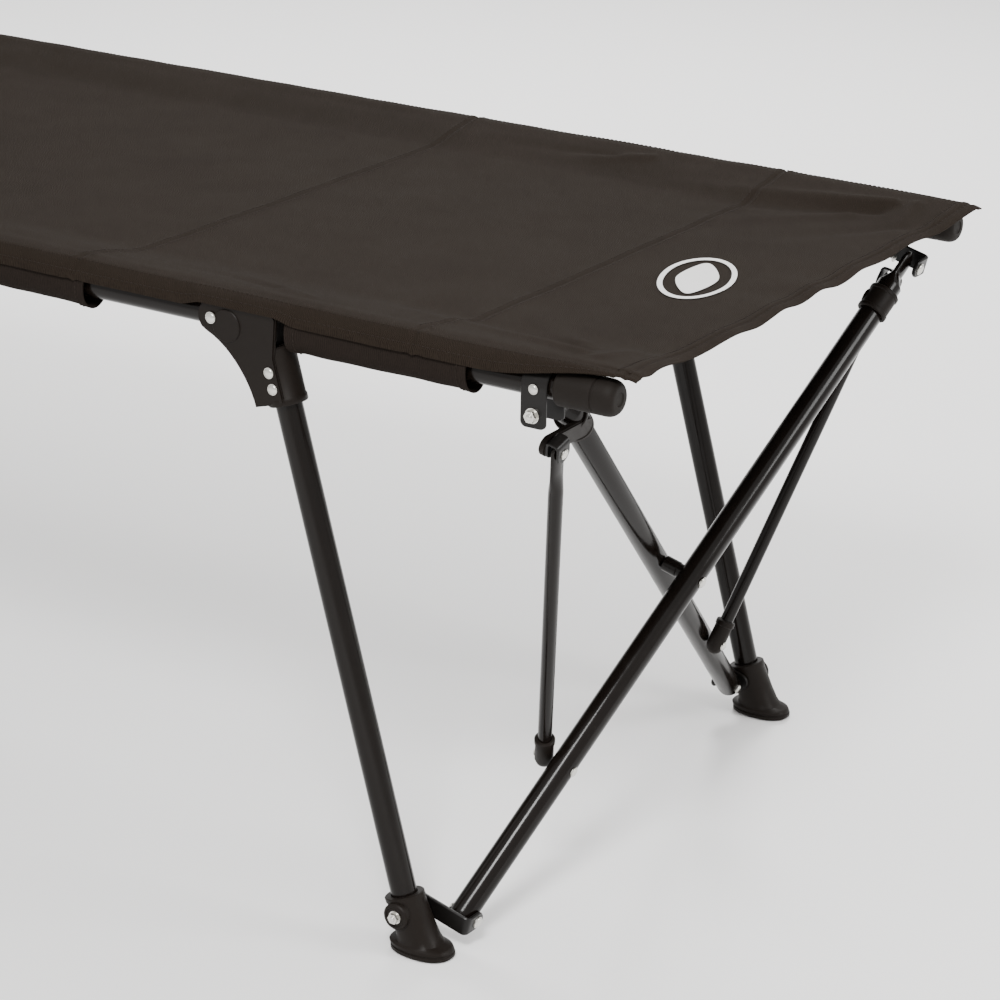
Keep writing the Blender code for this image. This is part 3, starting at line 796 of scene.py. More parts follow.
def buildCollars():
    for corner, (side, layer, outboard, place) in scissorPlace.items():
        other = cot["innerLayer"] if layer == cot["outerLayer"] else cot["outerLayer"]
        top = alongDiagonal(diagonalLength - collar["drop"], -side, other)
        low = alongDiagonal(diagonalLength - collar["drop"] - collar["length"], -side, other)
        bore = tubeRadius + 0.0002
        radius, length = collar["radius"], collar["length"]
        ring = [(bore, 0), (radius, 0), (radius + 0.0007, 0.0008), (radius + 0.0007, 0.0036),
                (radius, 0.0044),
                (radius, length - 0.0044), (radius + 0.0007, length - 0.0036),
                (radius + 0.0007, length - 0.0008),
                (radius, length), (bore, length)]
        bm = latheInto(bmesh.new(), ring, low, top - low, 40, loop=True)
        facing = 1 if other < cot["strutLayer"] else -1
        near = cot["strutLayer"] - facing * 0.0066
        foot, head = strutEnds(side)
        middle = (low + top) / 2
        middleUp = (middle - scissorPoint(0, 0, 0)).dot(upVector)
        headUp = rise - tubes["strutTopDrop"]
        run = Vector((head.y - middle.y, headUp - middleUp))
        angle = math.atan2(run.y, run.x)
        half = collar["armHalf"]
        outline = arcPoints(run.length, 0.0, half, -90, 90, 10) + arcPoints(0.0, 0.0, half, 90, 270, 10)
        turned = [(middle.y + px * math.cos(angle) - pz * math.sin(angle),
                   middleUp + px * math.sin(angle) + pz * math.cos(angle)) for px, pz in outline]
        arm = plateInto(bmesh.new(), turned, min(near, near - facing * collar["arm"]),
                        max(near, near - facing * collar["arm"]), 0.0010)
        for vert in arm.verts:
            vert.co = scissorPoint(vert.co.x, vert.co.z, vert.co.y)
        mergeInto(bm, arm)
        addPiece(corner + "_collar", bm, "satinBlackPlastic", corner + "_collar",
                 [corner + "_slide_collar"], place)
        along = (head - foot).normalized()
        across = along.cross(outVector).normalized()
        reach = collar["saddleGap"] + collar["saddlePlate"] / 2
        saddle = [head + outVector * reach - along * 0.0080, head + outVector * reach + along * 0.0104,
                  head - outVector * reach + along * 0.0104, head - outVector * reach - along * 0.0080]
        strap = strapInto(bmesh.new(), saddle, across, 0.0160, collar["saddlePlate"], 0.0036, 0.0078)
        addPiece(corner + "_saddle", strap, "darkBracketSteel", corner + "_collar", (), place)


buildCollars()
print("collars done")


# centre hinges

centreHinge = {"drop": 0.030, "sleeve": 0.0142, "ear": 0.0088, "single": ((-0.0042, 0.0042),),
               "fork": ((-0.0092, -0.0047), (0.0047, 0.0092))}


def buildCentreHinges():
    low = railZ - centreHinge["drop"]
    outline = arcPoints(0.0, low, centreHinge["ear"], 150, 330, 14)
    outline += [(0.034, railZ - 0.0070), (0.0068, railZ - 0.0070)]
    for corner, place in cornerPlace.items():
        spans = centreHinge["single"] if corner.startswith("foot") else centreHinge["fork"]
        radius, bore = centreHinge["sleeve"], tubeRadius + 0.0002
        ring = [(bore, 0.0015), (radius, 0.0015), (radius, 0.0380), (radius + 0.0006, 0.0388),
                (radius + 0.0006, 0.0446),
                (radius, 0.0455), (bore, 0.0460)]
        bm = latheInto(bmesh.new(), ring, (0, -railY, railZ), (1, 0, 0), 40, loop=True)
        for start, end in spans:
            plateInto(bm, outline, -railY + start, -railY + end, 0.0009)
        addPiece(corner + "_centreHinge", bm, "satinBlackPlastic", corner + "_mid",
                 [corner + "_centre_hinge"], place)


buildCentreHinges()
print("centre hinges done")


# the stretched bed, in four panels that meet without a seam

bed = {
    "split": 0.640,
    "top": 0.5332,
    "sag": 0.0125,
    "footSag": 0.0095,
    "edgeRadius": 0.0155,
    "edgeDrop": -6.0,
    "cornerLift": 68.0,
    "cornerReach": 0.010,
    "thickness": 0.0013,
    "step": 0.0042,
    "hem": 0.0165,
    "crossSeams": (0.447, 0.781),
    "seamDepth": 0.0009,
}
# creases that the tension pulls at a corner: start, end, width, height
cornerCreases = [
    ((0.905, 0.262), (0.700, 0.232), 0.0065, 0.0026),
    ((0.900, 0.244), (0.735, 0.205), 0.0075, -0.0022),
    ((0.880, 0.226), (0.770, 0.150), 0.0090, 0.0018),
    ((0.935, 0.215), (0.850, 0.130), 0.0090, -0.0014),
    ((0.925, 0.268), (0.935, 0.190), 0.0060, 0.0020),
    ((0.655, 0.270), (0.570, 0.236), 0.0070, 0.0018),
    ((0.620, 0.262), (0.500, 0.250), 0.0060, -0.0015),
]


def easeStep(value, low, high):
    t = min(max((value - low) / (high - low), 0.0), 1.0)
    return t * t * (3 - 2 * t)


def creaseHeight(x, y):
    total = 0.0
    for (ax, ay), (bx, by), width, height in cornerCreases:
        dx, dy = bx - ax, by - ay
        t = min(max(((x - ax) * dx + (y - ay) * dy) / (dx * dx + dy * dy), 0.0), 1.0)
        away = math.hypot(x - ax - dx * t, y - ay - dy * t)
        spread = width * (1 + 0.9 * t)
        total += 1.5 * height * (1 - 0.75 * t) * math.exp(-(away / spread) ** 2)
    return total


def seamDip(x):
    dip = 0.0
    for seam in bed["crossSeams"]:
        away = abs(abs(x) - seam)
        dip -= bed["seamDepth"] * math.exp(-(away / 0.0016) ** 2)
        dip += 0.0006 * math.exp(-((away - 0.0055) / 0.0030) ** 2)
    return dip


def bedTop(x, y):
    # height of the cloth's upper face between the rails
    reach = abs(x)
    endward = easeStep(reach, 0.80, 0.965)
    sag = bed["sag"] * (1 - endward) + bed["footSag"] * endward
    inner = 0.205 if y < 0 else 0.212
    dip = sag * (1 - easeStep(abs(y), inner, 0.281)) * (1 - 0.16 * (abs(y) / 0.29) ** 2)
    roll = 0.0020 * math.exp(-((abs(y) - 0.287) / 0.010) ** 2)
    height = bed["top"] - dip + roll
    mirrorY = y if x > 0 else -y
    inside = 1 - easeStep(abs(y), 0.272, 0.290)
    nearRail = 1 - 0.5 * easeStep(abs(y), 0.27, 0.29)
    height += creaseHeight(reach, abs(y)) * (0.85 if mirrorY < 0 else 1.15) * nearRail
    height += 0.0011 * (noise.noise(Vector((x * 7.0, y * 9.0, 1.7)))) * inside
    height += 0.0006 * (noise.noise(Vector((x * 26.0, y * 22.0, 4.1)))) * inside
    height += seamDip(x)
    edge = cot["halfLength"] - reach
    pucker = math.exp(-edge / 0.022)
    height += 0.0016 * math.sin(y * 2 * math.pi / 0.083 + 1.3 * math.sin(y * 17)) * pucker * inside
    if edge < bed["hem"]:
        height += 0.0009 - 0.0012 * math.exp(-((edge - bed["hem"] + 0.0015) / 0.0012) ** 2)
        height -= 0.0010 * math.exp(-((edge - bed["hem"] / 2) / 0.0011) ** 2)
        height -= 0.0032 * (1 - edge / bed["hem"]) ** 2
    return height


def crossStations():
    # across the bed: the flat part, then an arc over each rail; (y, arc angle or None)
    flat = []
    y = 0.0
    while y < railY - 0.0005:
        flat.append((y, None))
        y += 0.0030 if y > 0.190 else 0.0052
    arcs = [(railY, 90.0 - (90.0 - bed["edgeDrop"]) * i / 13) for i in range(14)]
    half = flat + arcs
    other = [(-y, angle) for y, angle in reversed(half) if not (y == 0.0 and angle is None)]
    return other, half


def knuckleWindow(x):
    reach = abs(x)
    return easeStep(reach, 0.556, 0.580) * (1 - easeStep(reach, 0.650, 0.672))


def clothPoint(x, y, angle, lift=0.0):
    if angle is None:
        return Vector((x, y, bedTop(x, y) + lift))
    side = 1 if y > 0 else -1
    window = knuckleWindow(x)
    radius = bed["edgeRadius"] + lift
    low = bed["edgeDrop"] + 20.0 * window + bed["cornerLift"] * easeStep(abs(x), 0.84, 0.975)
    turned = 90.0 - (90.0 - angle) * (90.0 - low) / (90.0 - bed["edgeDrop"])
    a = math.radians(turned)
    ripple = 0.0005 * noise.noise(Vector((x * 30.0, y * 3, turned * 0.02)))
    band = 0.0007 * easeStep(78.0 - turned, 0.0, 12.0)
    centreZ = bedTop(x, side * railY) - bed["edgeRadius"]
    reach = (radius + ripple + band) * math.cos(a) * (1 + 0.20 * window)
    corner = easeStep(abs(x), 0.900, 0.965)
    return Vector((x, side * (railY + reach - 0.0016 * corner * max(math.cos(a), 0)),
                   centreZ + (radius + ripple + band) * math.sin(a) - 0.0010 * corner))


def hemWave(x, y):
    near = easeStep(abs(x), cot["halfLength"] - 0.03, cot["halfLength"])
    wave = 0.0022 * noise.noise(Vector((y * 11.0, 3.3, 0.0)))
    wave += 0.0009 * noise.noise(Vector((y * 37.0, 9.1, 0.0)))
    tip = bed["cornerReach"] * easeStep(abs(y), 0.20, 0.285)
    return near * (min(wave, 0.0012) - 0.0010 + tip) * (1 if x > 0 else -1)


def panelPiece(name, start, end, body, node):
    # a grid over the panel, given its thickness, with closed rims
    count = max(int(abs(end - start) / bed["step"]), 2)
    fine = [start + (end - start) * i / count for i in range(count + 1)]
    for seam in bed["crossSeams"]:
        for offset in (-0.0060, -0.0045, -0.0030, -0.0016, -0.0008, 0.0, 0.0008, 0.0016, 0.0030, 0.0045,
                       0.0060):
            for sign in (-1, 1):
                x = sign * (seam + offset)
                if min(start, end) < x < max(start, end):
                    fine.append(x)
    for edge in (0.0006, 0.0014, 0.0026, 0.0060, 0.0075, 0.0090, 0.0105, 0.0135, 0.0150, 0.0165, 0.0180):
        for sign in (-1, 1):
            x = sign * (cot["halfLength"] - edge)
            if min(start, end) < x < max(start, end):
                fine.append(x)
    fine = sorted(fine)
    columns = [fine[0]]
    for x in fine[1:]:
        if x - columns[-1] > 0.0004:
            columns.append(x)
    columns[-1] = max(start, end)
    other, half = crossStations()
    stations = other + half
    bm = bmesh.new()
    grid = []
    for x in columns:
        line = []
        for y, angle in stations:
            point = clothPoint(x, y, angle)
            point.x += hemWave(x, y)
            line.append(bm.verts.new(point))
        grid.append(line)
    for first, second in zip(grid, grid[1:]):
        for i in range(len(stations) - 1):
            bm.faces.new([first[i], second[i], second[i + 1], first[i + 1]])
    faceUpward(bm)
    obj = meshObject(name, bm, "bedWeave")
    thicken(obj, bed["thickness"], -1.0)
    shadeByAngle(obj, 40.0)
    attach(obj, body)
    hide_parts(node)
    return obj


bodyOfPanel = {"footEnd": "foot_right_end", "footMid": "foot_right_mid", "headMid": "head_right_mid",
               "headEnd": "head_right_end"}


def flatten(obj):
    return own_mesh(obj)


for key, start, end, node in (("footEnd", bed["split"], cot["halfLength"], "foot_end_panel"),
                              ("footMid", 0.0, bed["split"], "foot_mid_panel"),
                              ("headMid", -bed["split"], 0.0, "head_mid_panel"),
                              ("headEnd", -cot["halfLength"], -bed["split"], "head_end_panel")):
    flatten(panelPiece(key + "Cloth", start, end, bodyOfPanel[key], node))


# stitches along the seams, by Geometry Nodes

stitchSizes = {"spacing": 0.0046, "length": 0.0031, "thread": 0.00042}


def newGeometryTree(name, inputs):
    tree = bpy.data.node_groups.new(name, "GeometryNodeTree")
    tree.interface.new_socket("Geometry", in_out="INPUT", socket_type="NodeSocketGeometry")
    for label in inputs:
        tree.interface.new_socket(label, in_out="INPUT", socket_type="NodeSocketFloat")
    tree.interface.new_socket("Material", in_out="INPUT", socket_type="NodeSocketMaterial")
    tree.interface.new_socket("Geometry", in_out="OUTPUT", socket_type="NodeSocketGeometry")
    return tree, tree.nodes.new("NodeGroupInput").outputs, tree.nodes.new("NodeGroupOutput")


def finishTree(tree, source, sink, place):
    real = nodeOf(tree, "GeometryNodeRealizeInstances", {"Geometry": place.outputs["Instances"]})
    inputs = {"Geometry": real.outputs["Geometry"], "Material": source["Material"]}
    painted = nodeOf(tree, "GeometryNodeSetMaterial", inputs)
    return sendOut(tree, sink, {"Geometry": painted.outputs["Geometry"]})


def turnTowards(tree, vector):
    return nodeOf(tree, "FunctionNodeAlignRotationToVector", {"Vector": vector},
                  axis="Z").outputs["Rotation"]


def namedValue(tree, name, kind):
    return nodeOf(tree, "GeometryNodeInputNamedAttribute", {"Name": name},
                  data_type=kind).outputs["Attribute"]


def buildStitchTree():
    tree, source, sink = newGeometryTree("seamStitches", ("Spacing", "Length", "Thread"))
    curve = nodeOf(tree, "GeometryNodeMeshToCurve", {"Mesh": source["Geometry"]})
    inputs = {"Curve": curve.outputs["Curve"], "Length": source["Spacing"]}
    spaced = nodeOf(tree, "GeometryNodeResampleCurve", inputs, mode="LENGTH")
    inputs = {"Segments": 6, "Rings": 5, "Radius": source["Thread"]}
    bead = nodeOf(tree, "GeometryNodeMeshUVSphere", inputs).outputs["Mesh"]
    ratio = mathNode(tree, "DIVIDE", source["Length"], mathNode(tree, "MULTIPLY", source["Thread"], 2.0))
    scale = nodeOf(tree, "ShaderNodeCombineXYZ", {"X": 1.0, "Y": 1.0, "Z": ratio}).outputs["Vector"]
    stretched = nodeOf(tree, "GeometryNodeTransform", {"Geometry": bead, "Scale": scale})
    turn = turnTowards(tree, tree.nodes.new("GeometryNodeInputTangent").outputs["Tangent"])
    inputs = {"Points": spaced.outputs["Curve"], "Instance": stretched.outputs["Geometry"], "Rotation": turn}
    return finishTree(tree, source, sink, nodeOf(tree, "GeometryNodeInstanceOnPoints", inputs))


def buildFastenerTree(name, hexHead):
    # a domed rivet, or a washer, spring washer, hex nut and bolt end, on each point
    tree, source, sink = newGeometryTree(name, ("Radius", "Height"))
    join = tree.nodes.new("GeometryNodeJoinGeometry")

    def times(label, factor):
        return mathNode(tree, "MULTIPLY", source[label], factor)

    def lifted(geometry, height, flatness):
        offset = nodeOf(tree, "ShaderNodeCombineXYZ", {"Z": times("Height", height)}).outputs["Vector"]
        inputs = {"Geometry": geometry, "Translation": offset, "Scale": (1.0, 1.0, flatness)}
        move = nodeOf(tree, "GeometryNodeTransform", inputs)
        tree.links.new(move.outputs["Geometry"], join.inputs["Geometry"])

    def disc(vertices, radius, depth, height):
        inputs = {"Vertices": vertices, "Radius": times("Radius", radius), "Depth": times("Height", depth)}
        lifted(nodeOf(tree, "GeometryNodeMeshCylinder", inputs).outputs["Mesh"], height, 1.0)

    def dome(radius, height, flatness):
        inputs = {"Segments": 24, "Rings": 12, "Radius": times("Radius", radius)}
        lifted(nodeOf(tree, "GeometryNodeMeshUVSphere", inputs).outputs["Mesh"], height, flatness)

    if hexHead:
        disc(32, 1.10, 0.18, 0.09)
        disc(28, 0.90, 0.16, 0.27)
        disc(6, 0.92, 0.42, 0.56)
        disc(28, 0.80, 0.04, 0.785)
        disc(20, 0.45, 0.86, 0.50)
        dome(0.42, 0.92, 0.35)
    else:
        disc(28, 1.0, 0.45, 0.20)
        dome(0.90, 0.40, 0.36)
    inputs = {"Points": source["Geometry"], "Instance": join.outputs["Geometry"],
              "Rotation": turnTowards(tree, namedValue(tree, "facing", "FLOAT_VECTOR")),
              "Scale": namedValue(tree, "size", "FLOAT")}
    return finishTree(tree, source, sink, nodeOf(tree, "GeometryNodeInstanceOnPoints", inputs))


stitchTree = buildStitchTree()
rivetTree = buildFastenerTree("domedRivets", False)
nutTree = buildFastenerTree("hexNuts", True)


def runTree(obj, tree, values, materialName):
    # sets the named inputs by identifier, and turns the result into a plain mesh
    live = obj.modifiers.new("nodes", "NODES")
    live.node_group = tree
    for item in tree.interface.items_tree:
        if item.item_type == "SOCKET" and item.in_out == "INPUT" and item.name in values:
            live[item.identifier] = values[item.name]
        if item.item_type == "SOCKET" and item.in_out == "INPUT" and item.name == "Material":
            live[item.identifier] = materials[materialName]
    bakeModifiers(obj)
    obj.data.materials.clear()
    obj.data.materials.append(materials[materialName])
    obj.data.polygons.foreach_set("material_index", [0] * len(obj.data.polygons))
    shadeByAngle(obj, 32.0)
    return obj


def stitchLines(name, lines, body, soft=False):
    mesh = bpy.data.meshes.new(name)
    points, edges = [], []
    for line in lines:
        first = len(points)
        points += line
        edges += [(first + i, first + i + 1) for i in range(len(line) - 1)]
    mesh.from_pydata(points, edges, [])
    obj = bpy.data.objects.new(name, mesh)
    bpy.context.scene.collection.objects.link(obj)
    runTree(obj, stitchTree, {"Spacing": stitchSizes["spacing"], "Length": stitchSizes["length"],
                              "Thread": stitchSizes["thread"]}, "seamThread")
    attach(obj, body)
    if soft:
        flatten(obj)
    return obj


def panelStitches(key, start, end):
    lines = []
    count = int((end - start) / 0.006)
    xs = [start + 0.003 + (end - start - 0.006) * i / count for i in range(count + 1)]
    for side in (-1, 1):
        for angle in (62.0, 22.0):
            lines.append([clothPoint(x, side * railY, angle, 0.0001) for x in xs])
    for seam in bed["crossSeams"]:
        for sign in (-1, 1):
            for offset in (-0.0048, 0.0048):
                x = sign * (seam + offset)
                if start < x < end:
                    ys = [-0.286 + 0.572 * i / 120 for i in range(121)]
                    lines.append([Vector((x, y, bedTop(x, y) + 0.0001)) for y in ys])
    for edge in (bed["hem"] - 0.0012, bed["hem"] / 2):
        for sign in (-1, 1):
            x = sign * (cot["halfLength"] - edge)
            if start < x < end:
                ys = [-0.289 + 0.578 * i / 140 for i in range(141)]
                lines.append([Vector((x + hemWave(x, y), y, bedTop(x, y) + 0.0002)) for y in ys])
    return stitchLines(key + "Stitches", lines, bodyOfPanel[key], soft=True)


for key, start, end in (("footEnd", bed["split"], cot["halfLength"]), ("footMid", 0.0, bed["split"]),
                        ("headMid", -bed["split"], 0.0), ("headEnd", -cot["halfLength"], -bed["split"])):
    panelStitches(key, start, end)
print("stitches done")


# the plain oval mark near the foot end: a ring round a leaf, with no lettering

mark = {"centre": (0.865, -0.014), "long": 0.0615, "short": 0.0315, "turn": 109.0, "lift": 0.0010,
        "thickness": 0.0003}


def markPoint(u, v):
    turn = math.radians(mark["turn"])
    px, py = u * mark["long"], v * mark["short"]
    x = mark["centre"][0] + px * math.cos(turn) - py * math.sin(turn)
    y = mark["centre"][1] + px * math.sin(turn) + py * math.cos(turn)
    return Vector((x, y, bedTop(x, y) + mark["lift"]))


def stripInto(bm, inner, outer, closed):
    a = [bm.verts.new(p) for p in inner]
    b = [bm.verts.new(p) for p in outer]
    count = len(a)
    for i in range(count if closed else count - 1):
        j = (i + 1) % count
        bm.faces.new([a[i], b[i], b[j], a[j]])


def blobInto(bm, radiusAt, rings=7, count=96):
    loops = []
    for r in range(1, rings + 1):
        loops.append([bm.verts.new(markPoint(*[c * r / rings for c in radiusAt(2 * math.pi * k / count)]))
                      for k in range(count)])
    centre = bm.verts.new(markPoint(0, 0))
    for k in range(count):
        bm.faces.new([centre, loops[0][k], loops[0][(k + 1) % count]])
    for first, second in zip(loops, loops[1:]):
        for k in range(count):
            j = (k + 1) % count
            bm.faces.new([first[k], second[k], second[j], first[j]])


def buildMark():
    bm = bmesh.new()
    count = 120
    angles = [2 * math.pi * k / count for k in range(count)]
    stripInto(bm, [markPoint(0.90 * math.cos(a), 0.86 * math.sin(a)) for a in angles],
              [markPoint(math.cos(a), math.sin(a)) for a in angles], True)

    def leaf(a):
        c, s = math.cos(a), math.sin(a)
        across = 0.56 * math.copysign(abs(s) ** 0.95, s) * (1 - 0.35 * c * c)
        return 0.74 * math.copysign(abs(c) ** 1.25, c), across

    blobInto(bm, leaf)
    faceUpward(bm)
    obj = meshObject("ovalMark", bm, "whitePrint")
    thicken(obj, mark["thickness"], -1.0)
    shadeByAngle(obj, 40.0)
    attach(obj, "foot_right_end")
    return flatten(obj)


ovalMark = buildMark()


# cloth sleeves that hold the bed to the rails

sleeve = {"spans": {"mid": (0.062, 0.457), "end": (0.660, 0.830)}, "radius": 0.0138, "drop": 0.0178,
          "step": 0.004,
          "thickness": 0.0010, "topAngle": 52.0}


def sleeveRing(x, start, end, seed):
    points = []
    hem = 0.0008 * (easeStep(abs(x - start), 0.011, 0.009) + easeStep(abs(x - end), 0.011, 0.009))
    flare = 0.0010 * (math.exp(-abs(x - start) / 0.010) + math.exp(-abs(x - end) / 0.010))
    count = 34
    for i in range(count + 1):
        span = 360.0 - 2 * (90.0 - sleeve["topAngle"])
        angle = math.radians(sleeve["topAngle"] - span * i / count)
        low = max(-math.sin(angle), 0.0)
        radius = sleeve["radius"] + (sleeve["drop"] - sleeve["radius"]) * low ** 1.5
        wrinkle = noise.noise(Vector((x * 34.0, math.degrees(angle) * 0.012, seed)))
        radius += 0.0010 * wrinkle * (0.35 + low) + hem + flare
        points.append(Vector((x, -railY + radius * math.cos(angle), railZ + radius * math.sin(angle))))
    return points


def buildSleeves():
    made = []
    seed = 0.0
    for corner, place in cornerPlace.items():
        for part, (start, end) in sleeve["spans"].items():
            seed += 7.3
            count = int((end - start) / sleeve["step"])
            xs = [start + (end - start) * i / count for i in range(count + 1)]
            rows = [sleeveRing(x, start, end, seed) for x in xs]
            bm = bmesh.new()
            grid = [[bm.verts.new(place @ p) for p in row] for row in rows]
            for first, second in zip(grid, grid[1:]):
                for i in range(len(first) - 1):
                    bm.faces.new([first[i], second[i], second[i + 1], first[i + 1]])
            bmesh.ops.recalc_face_normals(bm, faces=bm.faces)
            axis = place @ Vector((0, -railY, railZ))
            facing = 0.0
            for face in bm.faces:
                middle = face.calc_center_median()
                facing += (middle - Vector((middle.x, axis.y, railZ))).dot(face.normal)
            if facing < 0:
                bmesh.ops.reverse_faces(bm, faces=bm.faces)
            obj = meshObject(corner + "_" + part + "Sleeve", bm, "sleeveWeave")
            thicken(obj, sleeve["thickness"], 0.0)
            shadeByAngle(obj, 45.0)
            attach(obj, corner + "_" + part)
            girth = sum((b - a).length for a, b in zip(rows[5], rows[5][1:]))
            lines = []
            for x in (start + 0.0085, end - 0.0085):
                lines.append([place @ (p + (p - Vector((x, -railY, railZ))).normalized() * 0.0006)
                              for p in sleeveRing(x, start, end, seed)])
            thread = stitchLines(corner + "_" + part + "SleeveStitches", lines, corner + "_" + part)
            made.append((obj, girth, end - start, thread, corner + "_" + part + "Rail"))
    return made


sleeves = buildSleeves()
print("sleeves done")


# pillow: crowned, pulled in between its corners, with a corded seam

pillow = {"centre": (-0.790, 0.0), "half": (0.128, 0.207), "middle": 0.5500, "crown": 0.0265,
          "grid": (46, 70),
          "cord": 0.0021}


def pillowOutline(u, v):
    # pulls the sides in between the corners
    halfX, halfY = pillow["half"]
    x = pillow["centre"][0] + u * halfX * (1 - 0.055 * (1 - v * v))
    y = pillow["centre"][1] + v * halfY * (1 - 0.035 * (1 - u * u))
    return x, y


def pillowPoint(u, v, top):
    x, y = pillowOutline(u, v)
    swell = (1 - abs(u) ** 2.6) ** 0.62 * (1 - abs(v) ** 3.4) ** 0.62
    near = (1 - abs(u)) * (1 - abs(v))
    folds = 0.0022 * noise.noise(Vector((x * 16, y * 13, 5.0))) * min(near * 6, 1)
    radial = math.atan2(abs(v), abs(u) + 1e-6)
    corner = max(abs(u) * abs(v), 0) ** 3
    folds += 0.0016 * math.sin(radial * 26) * corner * (1 - corner) * 3
    if top:
        return Vector((x, y, pillow["middle"] + pillow["crown"] * swell + folds * swell))
    low = pillow["middle"] - pillow["crown"] * swell * 1.05
    return Vector((x, y, max(low, bedTop(x, y) + 0.0008 + 0.0002 * (1 - swell))))


def buildPillow():
    columns, rows = pillow["grid"]
    bm = bmesh.new()

    def spread(i, count):
        t = -1 + 2 * i / count
        return math.sin(t * math.pi / 2) * 0.75 + t * 0.25

    us = [spread(i, columns) for i in range(columns + 1)]
    vs = [spread(j, rows) for j in range(rows + 1)]
    faces = {}
    for top in (True, False):
        faces[top] = [[bm.verts.new(pillowPoint(u, v, top)) for v in vs] for u in us]
        for i in range(columns):
            for j in range(rows):
                grid = faces[top]
                bm.faces.new([grid[i][j], grid[i + 1][j], grid[i + 1][j + 1], grid[i][j + 1]])
    bmesh.ops.remove_doubles(bm, verts=bm.verts, dist=0.00001)
    border = [(us[0], v) for v in vs] + [(u, vs[-1]) for u in us[1:]]
    border += [(us[-1], v) for v in reversed(vs[:-1])] + [(u, vs[0]) for u in reversed(us[1:-1])]
    obj = addPiece("headPillow", bm, "pillowWeave", "head_right_end", ["pillow"], None,
                   60.0)
    path = [Vector((*pillowOutline(u, v), pillow["middle"])) for u, v in border]
    cord = bmesh.new()
    rings = []
    count = len(path)
    for i, point in enumerate(path):
        along = (path[(i + 1) % count] - path[i - 1]).normalized()
        across = along.cross(Vector((0, 0, 1))).normalized()
        ring = []
        for k in range(10):
            a = 2 * math.pi * k / 10
            ring.append(cord.verts.new(point + across * pillow["cord"] * math.cos(a)
                                       + Vector((0, 0, pillow["cord"] * math.sin(a)))))
        rings.append(ring)
    for i in range(count):
        first, second = rings[i], rings[(i + 1) % count]
        for k in range(10):
            j = (k + 1) % 10
            cord.faces.new([first[k], first[j], second[j], second[k]])
    piping = addPiece("pillowPiping", cord, "sleeveWeave", "head_right_end", (), None, 60.0)
    return flatten(obj), flatten(piping)


headPillow, pillowPiping = buildPillow()
print("pillow done")


# rivets, bolts and nuts, one mesh for each body

hardware = {"rivet": 0.0046, "rivetHeight": 0.0022, "nut": 0.0058, "nutHeight": 0.0068}


def fastenerPiece(name, spots, tree, radius, height, body):
    mesh = bpy.data.meshes.new(name)
    mesh.from_pydata([s[0] for s in spots], [], [])
    mesh.attributes.new("facing", "FLOAT_VECTOR", "POINT")
    mesh.attributes.new("size", "FLOAT", "POINT")
    mesh.attributes["facing"].data.foreach_set("vector", [c for s in spots for c in s[1]])
    mesh.attributes["size"].data.foreach_set("value", [s[2] for s in spots])
    obj = bpy.data.objects.new(name, mesh)
    bpy.context.scene.collection.objects.link(obj)
    runTree(obj, tree, {"Radius": radius, "Height": height}, "brightZinc")
    for leftover in ("facing", "size"):
        if leftover in obj.data.attributes:
            obj.data.attributes.remove(obj.data.attributes[leftover])
    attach(obj, body)
    return obj


def placed(spots, place):
    turn = place.to_3x3()
    return [(place @ Vector(p), turn @ Vector(d), s) for p, d, s in spots]


